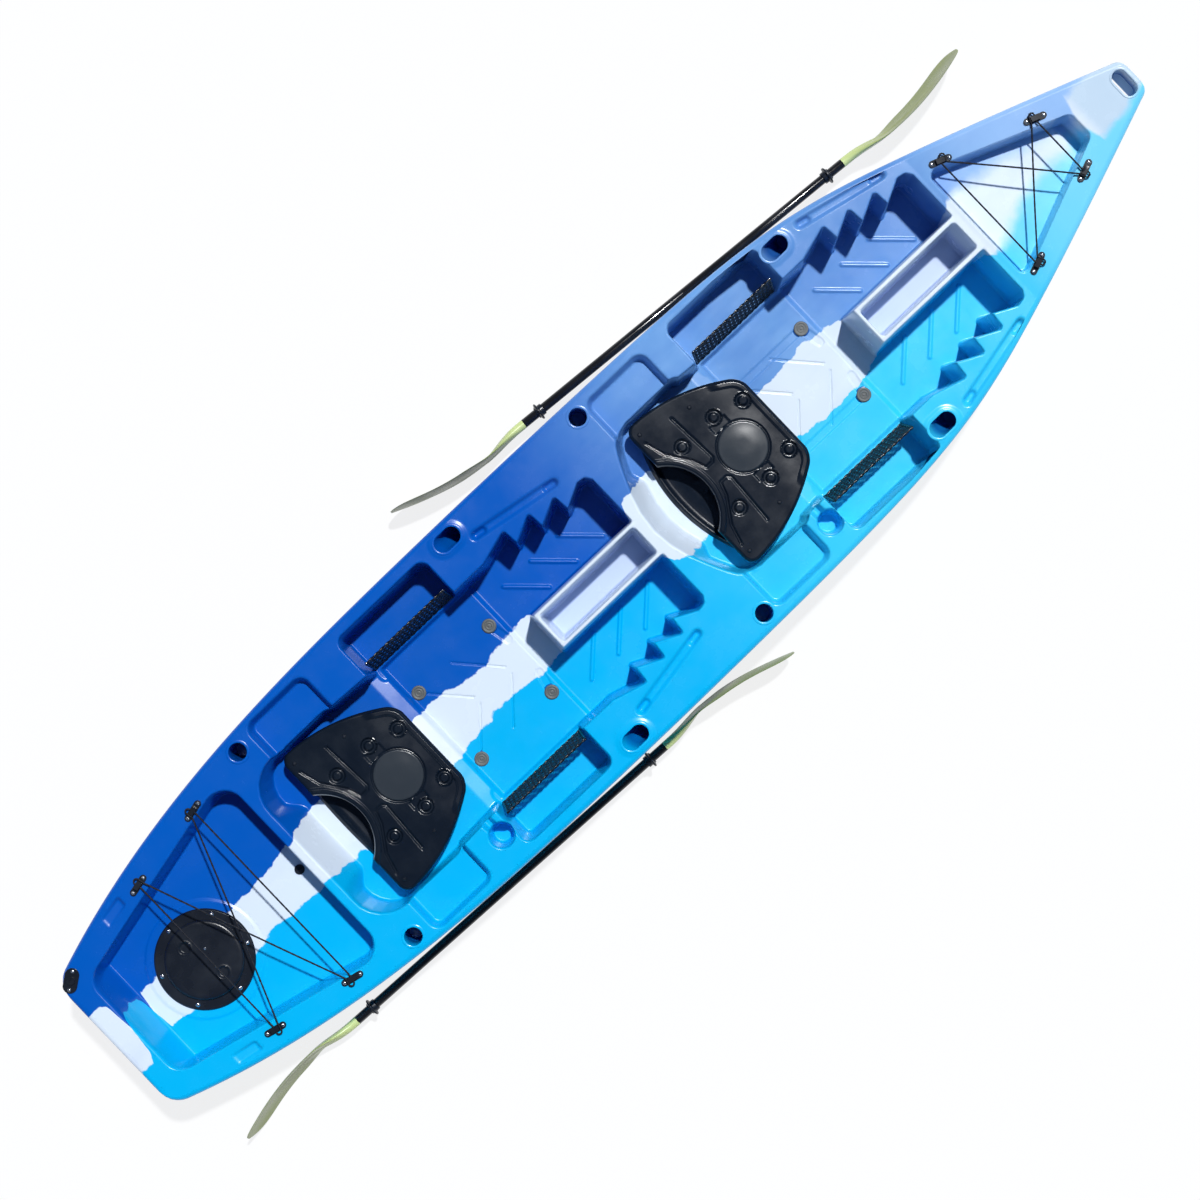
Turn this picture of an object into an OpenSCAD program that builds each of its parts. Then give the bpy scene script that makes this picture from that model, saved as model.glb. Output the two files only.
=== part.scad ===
// Tandem sit-on-top kayak with two folding seats, a round stern hatch,
// lashed bow and stern wells, four netted side pockets and two paddles.
// +X runs to the bow, +Y to port, +Z up; the keel rests on z = 0.

/* [Hull] */
// Overall length of the hull
hull_length = 4050; // [3800:10:4500]
// Greatest width of the hull
hull_beam = 894; // [860:2:980]
// Place of the widest section, measured from midships
widest_x = -200; // [-400:10:0]
// Width of the transom before its corners are rounded
transom_beam = 482; // [440:2:600]
// Width of the blunt bow tip before its corners are rounded
bow_tip = 112; // [100:2:160]
// Rounding of the transom corners seen from above
stern_corner = 46; // [20:1:80]
// Rounding of the bow corners seen from above
bow_corner = 20; // [8:1:30]
// Distance from the widest section to the shoulder of the bow
bow_knee = 1240; // [1000:10:1500]
// Softness of the shoulder of the bow
bow_round = 350; // [150:10:600]
// How late the sides close in towards the stern
stern_power = 3.3; // [2:0.1:5]
// Height of the side decks
deck_height = 330; // [310:2:380]
// Rise of the foredeck at the bow tip
bow_rise = 48; // [0:1:80]
// Rise of the keel at the bow tip
keel_rise = 185; // [120:1:210]
// Rise of the keel at the transom
stern_keel_rise = 70; // [20:1:110]
// Extra rise of the raked stem at the bow tip
stem_rise = 145; // [100:1:150]
// Length of the raked stem
stem_length = 260; // [200:5:300]
// Start of the bow rocker, measured back from the bow
bow_rocker = 1150; // [700:10:1500]
// Start of the stern rocker, measured from the stern
stern_rocker = 800; // [400:10:1200]
// Depth of the two tracking channels in the bottom
tunnel = 14; // [4:1:24]
// Rounding of the gunwale
gunwale_r = 17; // [8:1:26]
// Thickness of the moulded skin
wall = 3.5; // [3:0.5:5]

/* [Cockpits] */
// Front bulkhead of the rear cockpit, from midships
rear_bulkhead = 95; // [60:1:110]
// Front bulkhead of the front cockpit, from midships
front_bulkhead = 1370; // [1350:1:1378]
// Foot of the rear seat platform, from midships
rear_platform = -728; // [-735:1:-715]
// Foot of the front seat platform, from midships
front_platform = 575; // [565:1:580]
// Length of the raised leg floor ahead of the rear seat
rear_leg = 341; // [335:1:345]
// Length of the raised leg floor ahead of the front seat
front_leg = 314; // [305:1:318]
// Half width of the cockpits beside the legs
leg_half = 266; // [258:1:270]
// Height of the seat platform
seat_floor = 185; // [170:1:195]
// Height of the leg floor
leg_floor = 150; // [140:1:160]
// Height of the floor under the feet
toe_floor = 138; // [128:1:146]
// Run of the slope at the front of each seat platform
platform_slope = 45; // [20:1:60]
// Half width of the seat wells
seat_half = 284; // [280:1:290]
// Arch of the rear seat well's aft rim
rear_arch = 2; // [0:1:8]
// Arch of the front seat well's aft rim
front_arch = 20; // [0:1:24]
// Number of foot steps in each cockpit side
teeth = 3; // [2:1:4]
// Spacing of the foot steps
tooth_pitch = 87; // [80:1:92]
// Distance from the first foot step to the bulkhead
tooth_lead = 288; // [282:1:300]
// Half width at the outer corner of the first foot step
tooth_tip = 296; // [285:1:302]
// Loss of half width from one foot step to the next
tooth_step = 15; // [8:1:18]
// Depth of each foot step
tooth_depth = 55; // [40:1:60]
// Half width of the cockpit at its front bulkhead
toe_end = 230; // [215:1:240]
// Number of grip ribs on each side of a foot floor
ribs = 3; // [1:1:4]
// Length of a grip rib
rib_length = 140; // [100:1:150]
// Width of a grip rib
rib_w = 9; // [5:0.5:14]
// Height of a grip rib
rib_h = 4; // [2:0.5:6]
// Spacing of the chevron grooves in the leg floors
chevron_pitch = 130; // [115:1:135]
// Width of the chevron grooves
groove_w = 5; // [3:0.5:8]
// Depth of the chevron grooves and of the drain channels
groove_depth = 1.5; // [1:0.1:2]
// Width of the drain channels that lead to the scuppers
channel_w = 24; // [18:1:28]

/* [Console] */
// Length of each centre console
console_length = 395; // [370:1:410]
// Outer half width of each centre console
console_half = 68; // [60:1:76]
// Thickness of the console rails
console_rail = 21; // [16:1:26]
// Height of the console tray floor
console_floor = 152; // [146:1:170]

/* [Side deck] */
// Width of the rail left outside the side pockets and trays
side_rail = 46; // [40:1:52]
// Aft end of the rear side pockets, from midships
rear_pocket = -758; // [-764:1:-752]
// Aft end of the front side pockets, from midships
front_pocket = 551; // [546:1:556]
// Length of a side pocket
pocket_length = 340; // [326:1:344]
// Height of the side pocket floor
pocket_floor = 172; // [165:1:190]
// Aft end of the rear hip trays, from midships
rear_tray = -1122; // [-1130:1:-1112]
// Aft end of the front hip trays, from midships
front_tray = 229; // [226:1:236]
// Length of a hip tray
tray_length = 226; // [200:1:232]
// Depth of a hip tray
tray_depth = 44; // [30:1:60]
// Radius of the drink holders
cup_r = 35; // [32:0.5:36]
// Depth of the drink holders
cup_depth = 90; // [60:1:110]
// Radius of the upright round holders
holder_r = 26.5; // [22:0.5:29]
// Depth of the upright round holders
holder_depth = 140; // [90:1:150]
// Distance from the hull's edge to the middle of every holder
holder_inset = 53; // [50:1:58]
// Extra length of the slanted holders' mouths
slant_length = 32; // [20:1:40]
// Forward lean of the slanted holders over their depth
slant_lean = 60; // [20:1:80]
// Depth of the slanted holders
slant_depth = 120; // [80:1:130]
// Length of the gear track recesses
track_length = 272; // [240:1:290]
// Width of the gear track recesses
track_w = 27; // [20:1:30]
// Depth of the gear track recesses
track_depth = 9; // [5:1:14]

/* [Wells] */
// Front edge of the stern well, measured from the stern
stern_well_front = 755; // [730:1:765]
// Aft edge of the stern well, measured from the stern
stern_well_back = 72; // [66:1:90]
// Half width of the stern well at its front
stern_well_half = 328; // [315:1:332]
// Half width of the stern well at its back
stern_well_tail = 186; // [170:1:192]
// Height of the stern well floor
stern_floor = 206; // [196:1:220]
// Distance from the front cockpit's rim to the bow well
bow_well_gap = 38; // [34:1:50]
// Front edge of the bow well, measured back from the bow
bow_well_front = 212; // [200:1:230]
// Half width of the bow well at its back
bow_well_half = 198; // [180:1:200]
// Half width of the bow well at its front
bow_well_nose = 52; // [40:1:56]
// Depth of the bow well at its back
bow_well_depth = 62; // [40:1:76]
// Width across the boat of the bow grip slot
grip_w = 86; // [76:1:90]
// Length of the bow grip slot
grip_l = 44; // [36:1:46]
// Thickness of the grip bar at the bow tip
grip_bar = 18; // [15:1:24]

/* [Seats] */
// Hinge line of the rear seat, from midships
rear_seat = -1096; // [-1104:1:-1090]
// Hinge line of the front seat, from midships
front_seat = 290; // [284:1:296]
// Length of the backrest ahead of its hinge line
back_length = 330; // [310:1:334]
// Length of the backrest behind its hinge line
back_tail = 27; // [22:1:30]
// Half width of the backrest at its hinge end
back_half = 270; // [262:1:272]
// Half width of the backrest at its top edge
back_top = 152; // [130:1:170]
// Thickness of the backrest
back_thick = 20; // [16:1:24]
// Depth of the round cut-out in the backrest's hinge edge
arc_depth = 68; // [40:1:70]
// Half width of the round cut-out
arc_half = 127; // [100:1:128]
// Width of the raised rim round the cut-out
arc_rim = 22; // [12:1:26]
// Height of the raised rim and of the top lip above the backrest
lip_h = 4; // [2:0.5:6]
// Radius of the round disc on the backrest
disc_r = 75; // [60:1:78]
// Distance from the hinge line to the middle of the disc
disc_x = 196; // [190:1:200]
// Radius of the round bosses on the backrest
boss_r = 18; // [14:0.5:20]
// Height of the seat pan rim
pan_height = 45; // [36:1:46]
// Thickness of the seat pan
pan_wall = 5; // [4:0.5:7]
// Height of the hinge line above the seat platform
hinge_height = 53; // [53:1:56]
// Radius of the hinge pins
pin_r = 5; // [4:0.25:6]
// Middle of each hinge knuckle, out from the centreline
knuckle_y = 170; // [160:1:176]
// Width of the backrest's hinge lugs
lug_w = 20; // [14:1:24]
// Width of the seat pan's hinge ears
ear_w = 13; // [8:1:14]

/* [Hatch] */
// Middle of the hatch, measured from the stern
hatch_x = 334; // [326:1:345]
// Outer radius of the hatch rim
rim_r = 150; // [146:1:152]
// Radius of the opening through the rim
mouth_r = 100; // [94:1:101]
// Thickness of the rim flange
rim_flange = 9; // [6:0.5:12]
// Outer radius of the lid
lid_r = 118; // [116:1:120]
// Thickness of the lid's top plate
lid_thick = 12; // [8:0.5:16]
// Depth of the gasket's skirt inside the mouth
skirt_h = 16; // [10:1:22]
// Width of the gasket ring
gasket_w = 8; // [6:0.5:9]
// Depth of the gasket's seat
gasket_h = 2; // [1.5:0.1:3]

/* [Fittings] */
// Radius of the scupper tubes
scupper_r = 15; // [12:0.5:17]
// Distance of the scuppers from the centreline
scupper_y = 135; // [128:1:140]
// Radius of a scupper plug's head
plug_head_r = 22; // [20:0.5:24]
// Thickness of a scupper plug's head
plug_head_h = 5; // [4:0.5:7]
// Length of a scupper plug's stem
plug_stem = 38; // [30:1:44]
// Radius of the bung in the stern well floor
bung_r = 12; // [9:0.5:14]
// Length of the drain fitting
drain_l = 74; // [66:1:78]
// Width of the drain fitting
drain_w = 42; // [36:1:44]
// Length of a pad eye
eye_l = 70; // [64:1:74]
// Width of a pad eye
eye_w = 20; // [16:1:22]
// Thickness of a pad eye's base
eye_base = 4; // [3:0.5:5]
// Distance from the hull's edge to the pad eyes
eye_inset = 63; // [58:1:66]
// Diameter of the shock cord
cord_d = 5; // [4:0.25:6]
// Height of the cord above the deck inside a pad eye
cord_height = 9.5; // [9:0.25:11]
// Thickness of the pocket nets
net_thick = 3; // [2:0.25:4]
// Number of gaps along a pocket net
net_cols = 14; // [8:1:15]
// Number of gaps up a pocket net
net_rows = 5; // [3:1:5]
// Width of the net's strands
net_strand = 3.5; // [2.5:0.25:5]
// Height of a pocket net along its slope
net_height = 128; // [110:1:136]
// Lean of a pocket net from upright
net_lean = 12; // [0:1:14]

/* [Paddles] */
// Length of a blade beyond its shaft
blade_length = 475; // [420:5:520]
// Width of a blade
blade_w = 168; // [140:2:190]
// Length of the shaft from the middle joint to a blade
half_shaft = 615; // [560:5:660]
// Outer radius of the shaft
shaft_r = 14; // [13:0.25:16]
// Wall of the shaft tube
shaft_wall = 2.5; // [2:0.25:3]
// Length of the spigot at the middle joint
spigot = 90; // [60:5:120]
// Distance from the shaft's end to the drip ring
ring_back = 58; // [40:1:80]
// Radius of the drip ring
ring_r = 27; // [22:0.5:32]
// Curve of the blade tip away from the shaft line
blade_sweep = 38; // [20:1:60]
// Feather of each paddle's outer blade against its other blade
blade_feather = 24; // [0:1:40]
// Middle joint of the port paddle, from midships
port_paddle_x = 688; // [600:1:720]
// Middle joint of the port paddle, from the centreline
port_paddle_y = 456; // [450:1:480]
// Yaw of the port paddle
port_paddle_yaw = -4.3; // [-5:0.1:-3]
// Middle joint of the starboard paddle, from midships
stbd_paddle_x = -900; // [-960:1:-860]
// Middle joint of the starboard paddle, from the centreline
stbd_paddle_y = -466; // [-490:1:-464]
// Yaw of the starboard paddle
stbd_paddle_yaw = -1.9; // [-2.5:0.1:-1]

/* [Clearances] */
// Gap between pieces that seat on each other
seat_gap = 0.3; // [0.2:0.05:0.5]
// Radial gap between a pin and its bore
pin_gap = 0.06; // [0.02:0.01:0.1]

/* [Hidden] */

royal = [0.03, 0.27, 0.78];
black = [0.07, 0.07, 0.08];
grey = [0.36, 0.38, 0.36];
lime = [0.66, 0.72, 0.34];

bow = hull_length/2;
stern = -hull_length/2;
hatch_at = stern + hatch_x;
rear_step = rear_platform + rear_leg;
front_step = front_platform + front_leg;
pocket_in = leg_half - 6;
pocket_out = hull_beam/2 - side_rail;
knee_x = widest_x + bow_knee;
foredeck = front_bulkhead + 18;
front_track = front_bulkhead - tooth_lead - 42;
arc_r = (arc_half*arc_half + arc_depth*arc_depth)/(2*arc_depth);
arc_x = arc_depth - back_tail - arc_r;

// Plan of the hull: a power curve to the stern, a rounded shoulder to the bow.
function soften(x) = ((x - knee_x) + sqrt(pow(x - knee_x, 2) + pow(bow_round, 2)))/2;
function plan_half(x) = x < widest_x
  ? hull_beam/2 - (hull_beam - transom_beam)/2*pow((widest_x - x)/(widest_x - stern), stern_power)
  : hull_beam/2 - (hull_beam - bow_tip)/2*(soften(x) - soften(widest_x))/(soften(bow) - soften(widest_x));
function corner_cut(s, r) = s >= r ? 0 : r - sqrt(max(0, r*r - (r - s)*(r - s)));
function half_at(x) = plan_half(x) - corner_cut(x - stern, stern_corner) - corner_cut(bow - x, bow_corner);
function deck_at(x) = deck_height + bow_rise*max(0, (x - foredeck)/(bow - foredeck));
function ramp(t) = min(max(t, 0), 1);
function ease(t) = let (c = ramp(t)) c*c*(3 - 2*c);
function keel_at(x) = keel_rise*pow(ramp((x - bow + bow_rocker)/bow_rocker), 2.2)
  + stem_rise*pow(ramp((x - bow + stem_length)/stem_length), 1.2)
  + stern_keel_rise*pow(ramp((stern + stern_rocker - x)/stern_rocker), 2);
function channel_at(x) = tunnel*ease((x - stern - 100)/600)*ease((bow - bow_rocker + 500 - x)/500);

// One section of the hull, bottom centre to deck centre and back on the other side.
function section(x) =
  let (b = half_at(x), zk = keel_at(x), zd = deck_at(x), h = zd - zk, t = channel_at(x), r = gunwale_r,
    side = concat(
      [[0.09*b, zk], [0.15*b, zk + t], [0.42*b, zk + t], [0.5*b, zk], [0.64*b, zk]],
      [for (a = [22.5:22.5:90]) [b*(0.64 + 0.315*sin(a)), zk + 0.42*h*(1 - cos(a))]],
      [for (a = [0:30:90]) [b - r*(1 - cos(a)), zd - r*(1 - sin(a))]]))
  concat([[x, 0, zk]], [for (p = side) [x, p[0], p[1]]], [[x, 0, zd]],
    [for (i = [len(side) - 1:-1:0]) [x, -side[i][0], side[i][1]]]);

// The same section drawn in by the skin.
function core_section(x) =
  let (b = min(half_at(x), half_at(max(stern, x - 2*wall))) - wall,
    zk = keel_at(x) + wall, zd = deck_at(x) - wall, h = zd - zk, t = channel_at(x),
    side = concat([[0.08*b, zk], [0.15*b, zk + t], [0.42*b, zk + t], [0.505*b, zk], [0.64*b, zk]],
      [for (a = [30:30:90]) [b*(0.64 + 0.31*sin(a)), zk + 0.42*h*(1 - cos(a))]],
      [[b - 0.5, zd - gunwale_r], [b - 0.3*gunwale_r, zd - 0.3*gunwale_r], [b - gunwale_r, zd]]))
  concat([[x, 0, zk]], [for (p = side) [x, p[0], p[1]]], [[x, 0, zd]],
    [for (i = [len(side) - 1:-1:0]) [x, -side[i][0], side[i][1]]]);

module loft(rings) {
  m = len(rings[0]);
  n = len(rings);
  polyhedron(
    points = [for (r = rings) each r],
    faces = concat(
      [for (i = [0:n - 2]) for (j = [0:m - 1]) let (k = (j + 1)%m)
        each [[i*m + j, (i + 1)*m + k, i*m + k], [i*m + j, (i + 1)*m + j, (i + 1)*m + k]]],
      [[for (j = [0:m - 1]) j]],
      [[for (j = [m - 1:-1:0]) (n - 1)*m + j]]),
    convexity = 8);
}

hull_stations = concat(
  [for (a = [0:30:90]) stern + stern_corner*(1 - cos(a))],
  [for (i = [1:19]) stern + stern_corner + (foredeck - stern - stern_corner)*i/19],
  [for (i = [1:7]) foredeck + (bow - bow_corner - foredeck)*i/7],
  [for (a = [60:-30:0]) bow - bow_corner*(1 - cos(a))]);
core_stations = concat(
  [stern + wall, stern + wall + 0.4*stern_corner, stern + wall + stern_corner],
  [for (i = [1:13]) stern + stern_corner + (foredeck - stern - stern_corner)*i/13],
  [for (i = [1:4]) foredeck + (bow - 110 - foredeck)*i/4]);

module both() {
  children();
  mirror([0, 1, 0]) children();
}

// A moulded recess with rounded corners: the hull of discs at its rim and at its floor.
// Where it grows by the skin, its corners are drawn plainly, outside the true rounding.
function corner_r(r, grow) = grow > 0 ? (r + grow)/cos(180/8) : r;
module basin(rim, base, rim_rad, base_rad, top, floor_z, grow = 0, n = 16) {
  fn = grow > 0 ? 8 : n;
  hull() {
    for (p = rim) translate([p[0], p[1], top]) cylinder(r = corner_r(rim_rad, grow), h = 1, $fn = fn);
    for (p = base) translate([p[0], p[1], floor_z - grow])
      cylinder(r = corner_r(base_rad, grow), h = 1, $fn = fn);
  }
}

function sides(list) = [for (p = list) each [p, [p[0], -p[1]]]];

module seat_well(seat, platform, arch, grow) {
  basin(
    sides([[seat - 40 - arch, 50], [seat - 40, seat_half - 100], [platform - 40, leg_half - 100]]),
    sides([[seat + 20, seat_half - 108], [platform - 40, leg_half - 102]]),
    100, 98, deck_height + 1, seat_floor, grow, 28);
  // room beside the hinge end of the backrest
  basin(
    sides([[seat + 20, seat_half - 40], [seat + 160, seat_half - 40]]),
    sides([[seat + 20, seat_half - 46], [seat + 160, seat_half - 46]]),
    40, 40, deck_height + 1, seat_floor, grow);
}

module leg_well(platform, step, grow) {
  slope = platform_slope/(seat_floor - leg_floor);
  basin(
    sides([[platform + 30 - slope*(deck_height - leg_floor), leg_half - 30], [step - 20, leg_half - 30]]),
    sides([[platform + 30, leg_half - 34], [step - 20, leg_half - 34]]),
    30, 30, deck_height + 1, leg_floor, grow);
}

module toe_plan(bulkhead, step) {
  first = bulkhead - tooth_lead;
  tips = [for (k = [0:teeth - 1]) [first + k*tooth_pitch, tooth_tip - k*tooth_step]];
  side = concat(
    [[step, leg_half], [first - tooth_pitch - 16, leg_half]],
    [for (t = tips) each [t, [t[0] + 5, t[1] - tooth_depth]]],
    [[bulkhead - 32, toe_end + 20], [bulkhead - 10, toe_end + 16], [bulkhead, toe_end]]);
  polygon(concat(side, [for (i = [len(side) - 1:-1:0]) [side[i][0], -side[i][1]]]));
}

// The centre console that stays standing in the foot well.
module console_block(bulkhead, grow) {
  aft = bulkhead - console_length + grow;
  half = console_half - grow;
  basin(
    sides([[aft + 12, half - 12], [bulkhead + 20, half - 12]]),
    sides([[aft, half - 8], [bulkhead + 20, half - 8]]),
    12, 14, deck_height + 2, toe_floor - 20, 0, 12);
}

module toe_well(bulkhead, step, grow) {
  difference() {
    if (grow > 0) {
      corners = sides([[step + 8, leg_half - 10], [bulkhead - tooth_lead, tooth_tip - 10],
        [bulkhead - 10, toe_end + 12]]);
      basin(corners, corners, 10, 10, deck_height + 1, toe_floor, grow);
    } else
      translate([0, 0, toe_floor]) linear_extrude(height = deck_height + 1 - toe_floor)
        toe_plan(bulkhead, step);
    console_block(bulkhead, grow);
    // grip ribs of the foot floor, pointing to the bow
    if (grow == 0) both() for (k = [0:ribs - 1])
      translate([bulkhead - 350 + k*110, 142, toe_floor]) rotate([0, 0, -44])
        cube([rib_length, rib_w, 2*rib_h], center = true);
  }
}

module bar(a, b, w, floor_z) {
  hull() for (p = [a, b]) translate([p[0], p[1], floor_z]) cylinder(d = w, h = 8, $fn = 8);
}

// Chevrons of a leg floor, pointing to the bow, and the channels that drain it to its scuppers.
module floor_grooves(platform, step, side_channels) {
  z = leg_floor - groove_depth;
  both() {
    for (k = [0, 1]) let (x = platform + 28 + k*chevron_pitch)
      bar([x, scupper_y - 2], [x + 0.82*chevron_pitch, 14], groove_w, z);
    bar([step - 28, scupper_y], [step - channel_w/2 - 2, console_half], channel_w, z);
    if (side_channels) bar([platform + 26, scupper_y], [step - 28, scupper_y], channel_w, z);
  }
}

module console_tray(bulkhead, grow) {
  inner = console_half - console_rail;
  basin(
    sides([[bulkhead - console_length + console_rail + 6, inner - 6], [bulkhead - 14, inner - 6]]),
    sides([[bulkhead - console_length + console_rail + 8, inner - 8], [bulkhead - 14, inner - 8]]),
    6, 6, deck_height + 1, console_floor, grow, 12);
}

module side_pocket(aft, grow) {
  basin(
    [for (x = [aft + 25, aft + pocket_length - 25]) for (y = [pocket_in + 25, pocket_out - 25]) [x, y]],
    [for (x = [aft + 31, aft + pocket_length - 31]) for (y = [pocket_in + 25, pocket_out - 31]) [x, y]],
    25, 25, deck_height + 1, pocket_floor, grow);
}

module hip_tray(aft, grow) {
  out = pocket_out + 4;
  basin(
    [for (x = [aft + 32, aft + tray_length - 32]) for (y = [seat_half, out - 32]) [x, y]],
    [for (x = [aft + 36, aft + tray_length - 36]) for (y = [seat_half, out - 36]) [x, y]],
    32, 30, deck_height + 1, deck_height - tray_depth, grow);
}

module cup(aft, grow) {
  y = pocket_in + 2*cup_r + 2;
  basin([[aft - 38, y]], [[aft - 38, y]], cup_r, cup_r - 2,
    deck_height + 1, deck_height - cup_depth, grow, 24);
  // low lip towards the cockpit
  basin([[aft - 48, leg_half - 12], [aft - 40, y]], [[aft - 48, leg_half - 12], [aft - 40, y]],
    16, 13, deck_height + 1, deck_height - 30, grow, 12);
}

module round_holder(x, grow) {
  y = plan_half(x) - holder_inset;
  translate([x, y, deck_height - holder_depth - grow])
    cylinder(r = corner_r(holder_r, grow), h = holder_depth + grow + 1, $fn = grow > 0 ? 8 : 28);
}

module slant_holder(x, grow) {
  y = plan_half(x) - holder_inset;
  basin(
    [[x - slant_length/2, y], [x + slant_length/2, y]], [[x + slant_lean - 4, y], [x + slant_lean + 4, y]],
    holder_r, holder_r - 2, deck_height + 1, deck_height - slant_depth, grow, 20);
}

module track(aft, out, yaw, grow) {
  r = track_w/2;
  translate([aft, out, 0]) rotate([0, 0, yaw]) {
    basin([[0, 0], [track_length, 0]], [[0, 0], [track_length, 0]], r, r,
      deck_height + 1, deck_height - track_depth, grow, 16);
    for (x = [14, track_length - 14])
      basin([[x - 12, 0], [x + 12, 0]], [[x - 12, 0], [x + 12, 0]], r - 2, r - 4, deck_height + 1,
        deck_height - 2*track_depth, grow, 12);
  }
}

// A shallow dip in the rail beside the stern well.
module rail_dip(grow) {
  x = stern + 265;
  y = plan_half(x) - 42;
  rim = [[x - 22, y - 14], [x + 22, y - 5], [x - 22, y + 2], [x + 22, y + 11]];
  basin(rim, rim, 9, 7, deck_height + 1, deck_height - 5, grow, 8);
}

module stern_well(grow) {
  front = stern + stern_well_front;
  back = stern + stern_well_back;
  basin(
    sides([[front - 62, stern_well_half - 62], [back + 62, stern_well_tail - 50]]),
    sides([[front - 66, stern_well_half - 68], [back + 92, stern_well_tail - 58]]),
    62, 58, deck_height + 1, stern_floor, grow, 24);
}

module bow_well(grow) {
  aft = front_bulkhead + bow_well_gap;
  front = bow - bow_well_front;
  basin(
    sides([[aft + 24, bow_well_half - 24], [front - 24, bow_well_nose - 24]]),
    sides([[aft + 28, bow_well_half - 30], [front - 30, bow_well_nose - 28]]),
    24, 22, deck_height + bow_rise + 2, deck_height - bow_well_depth, grow);
}

module grip_slot(grow) {
  x = bow - grip_bar - grip_l/2;
  translate([x, 0, -1]) linear_extrude(height = deck_height + bow_rise + 10)
    hull() for (i = [-1, 1]) translate([0, i*(grip_w/2 - grip_l/2)]) circle(r = grip_l/2 + grow, $fn = 20);
}

scuppers = [
  [front_step - 28, scupper_y], [front_step - 28, -scupper_y],
  [rear_step - 28, scupper_y], [rear_step - 28, -scupper_y],
  [rear_platform + 26, scupper_y], [rear_platform + 26, -scupper_y]];

module scupper_bores(grow) {
  for (p = scuppers) translate([p[0], p[1], -1])
    cylinder(r = corner_r(scupper_r, grow), h = leg_floor + 2, $fn = grow > 0 ? 8 : 20);
}

module bung_bore(grow) {
  translate([stern + stern_well_front - 26 - bung_r, 0, stern_floor - 30])
    cylinder(r = bung_r + grow, h = 40, $fn = 20);
}

module deck_recesses(grow) {
  both() {
    side_pocket(rear_pocket, grow);
    side_pocket(front_pocket, grow);
    hip_tray(rear_tray, grow);
    hip_tray(front_tray, grow);
    round_holder(rear_tray - 61, grow);
    round_holder(front_tray - 36, grow);
    slant_holder(rear_pocket + pocket_length + 95, grow);
    slant_holder(front_pocket + pocket_length + 49, grow);
    track(rear_bulkhead - tooth_lead - 63, pocket_out - 54, -9.9, grow);
    track(front_track, plan_half(front_track) - 35.5,
      atan2(plan_half(front_track + 265) - plan_half(front_track) + 11, 265), grow);
    rail_dip(grow);
  }
  // drink holders to starboard only
  mirror([0, 1, 0]) for (aft = [rear_pocket, front_pocket]) cup(aft, grow);
}

module wells(grow) {
  seat_well(rear_seat, rear_platform, rear_arch, grow);
  seat_well(front_seat, front_platform, front_arch, grow);
  leg_well(rear_platform, rear_step, grow);
  leg_well(front_platform, front_step, grow);
  toe_well(rear_bulkhead, rear_step, grow);
  toe_well(front_bulkhead, front_step, grow);
  console_tray(rear_bulkhead, grow);
  console_tray(front_bulkhead, grow);
  deck_recesses(grow);
  stern_well(grow);
  bow_well(grow);
  grip_slot(grow);
  scupper_bores(grow);
}

module hull_shell() {
  color(royal) difference() {
    loft([for (x = hull_stations) section(x)]);
    wells(0);
    floor_grooves(rear_platform, rear_step, false);
    floor_grooves(front_platform, front_step, true);
    // the hollow inside, kept a skin's thickness away from every well
    difference() {
      loft([for (x = core_stations) core_section(x)]);
      wells(wall);
      drain_bore(wall);
    }
    // openings into the hollow
    translate([hatch_at, 0, stern_floor - 20]) cylinder(r = mouth_r + 8, h = 40, $fn = 48);
    bung_bore(0);
    drain_bore(0);
  }
}

module drain_bore(grow) {
  translate([stern + 40, 0, 0]) translate([0, half_at(stern + 40) - 34, deck_height - 30 - grow])
    cylinder(r = drain_w/2 - 9 + grow, h = 40 + grow, $fn = 20);
}

// Seats

function back_width(x, inset) = back_half
  - (back_half - back_top)*pow(ramp((x + back_tail)/(back_length + back_tail)), 2.2)
  - inset - corner_cut(x + back_tail - inset, 34) - corner_cut(back_length - inset - x, 30);

module back_plan(inset) {
  n = 14;
  x0 = -back_tail + inset;
  x1 = back_length - inset;
  xs = [for (i = [0:n]) x0 + (x1 - x0)*(1 - cos(180*i/n))/2];
  polygon(concat(
    [for (x = xs) [x, back_width(x, inset)]],
    [for (i = [n:-1:0]) [xs[i], -back_width(xs[i], inset)]]));
}

boss_places = [[back_length - 42, 98], [disc_x - 4, 121], [66, 121]];
// Outline of a tongue panel, from the side of the backrest round its end and back along the cut-out.
tongue_side = back_half - 66;
tongue = [[100, tongue_side], [110, 40], [100, 30], [76, 30], [62, 70], [14, 140], [-4, tongue_side]];

// The groove round both tongue panels, open towards the sides.
module tongue_grooves() {
  difference() {
    both() difference() {
      offset(delta = 2.5) polygon(tongue);
      offset(delta = -2.5) polygon(tongue);
    }
    for (i = [0, 1]) mirror([0, i]) translate([-back_tail, tongue_side - 6]) square([back_length, back_half]);
  }
}

// The raised rim round the cut-out and the lip along the top edge.
module back_lips(z) {
  translate([0, 0, z]) linear_extrude(height = lip_h + 4) {
    intersection() {
      back_plan(12);
      translate([arc_x, 0]) circle(r = arc_r + arc_rim);
    }
    difference() {
      intersection() {
        back_plan(9);
        translate([back_length - 90, -back_half]) square([100, 2*back_half]);
      }
      back_plan(24);
    }
  }
}

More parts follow.
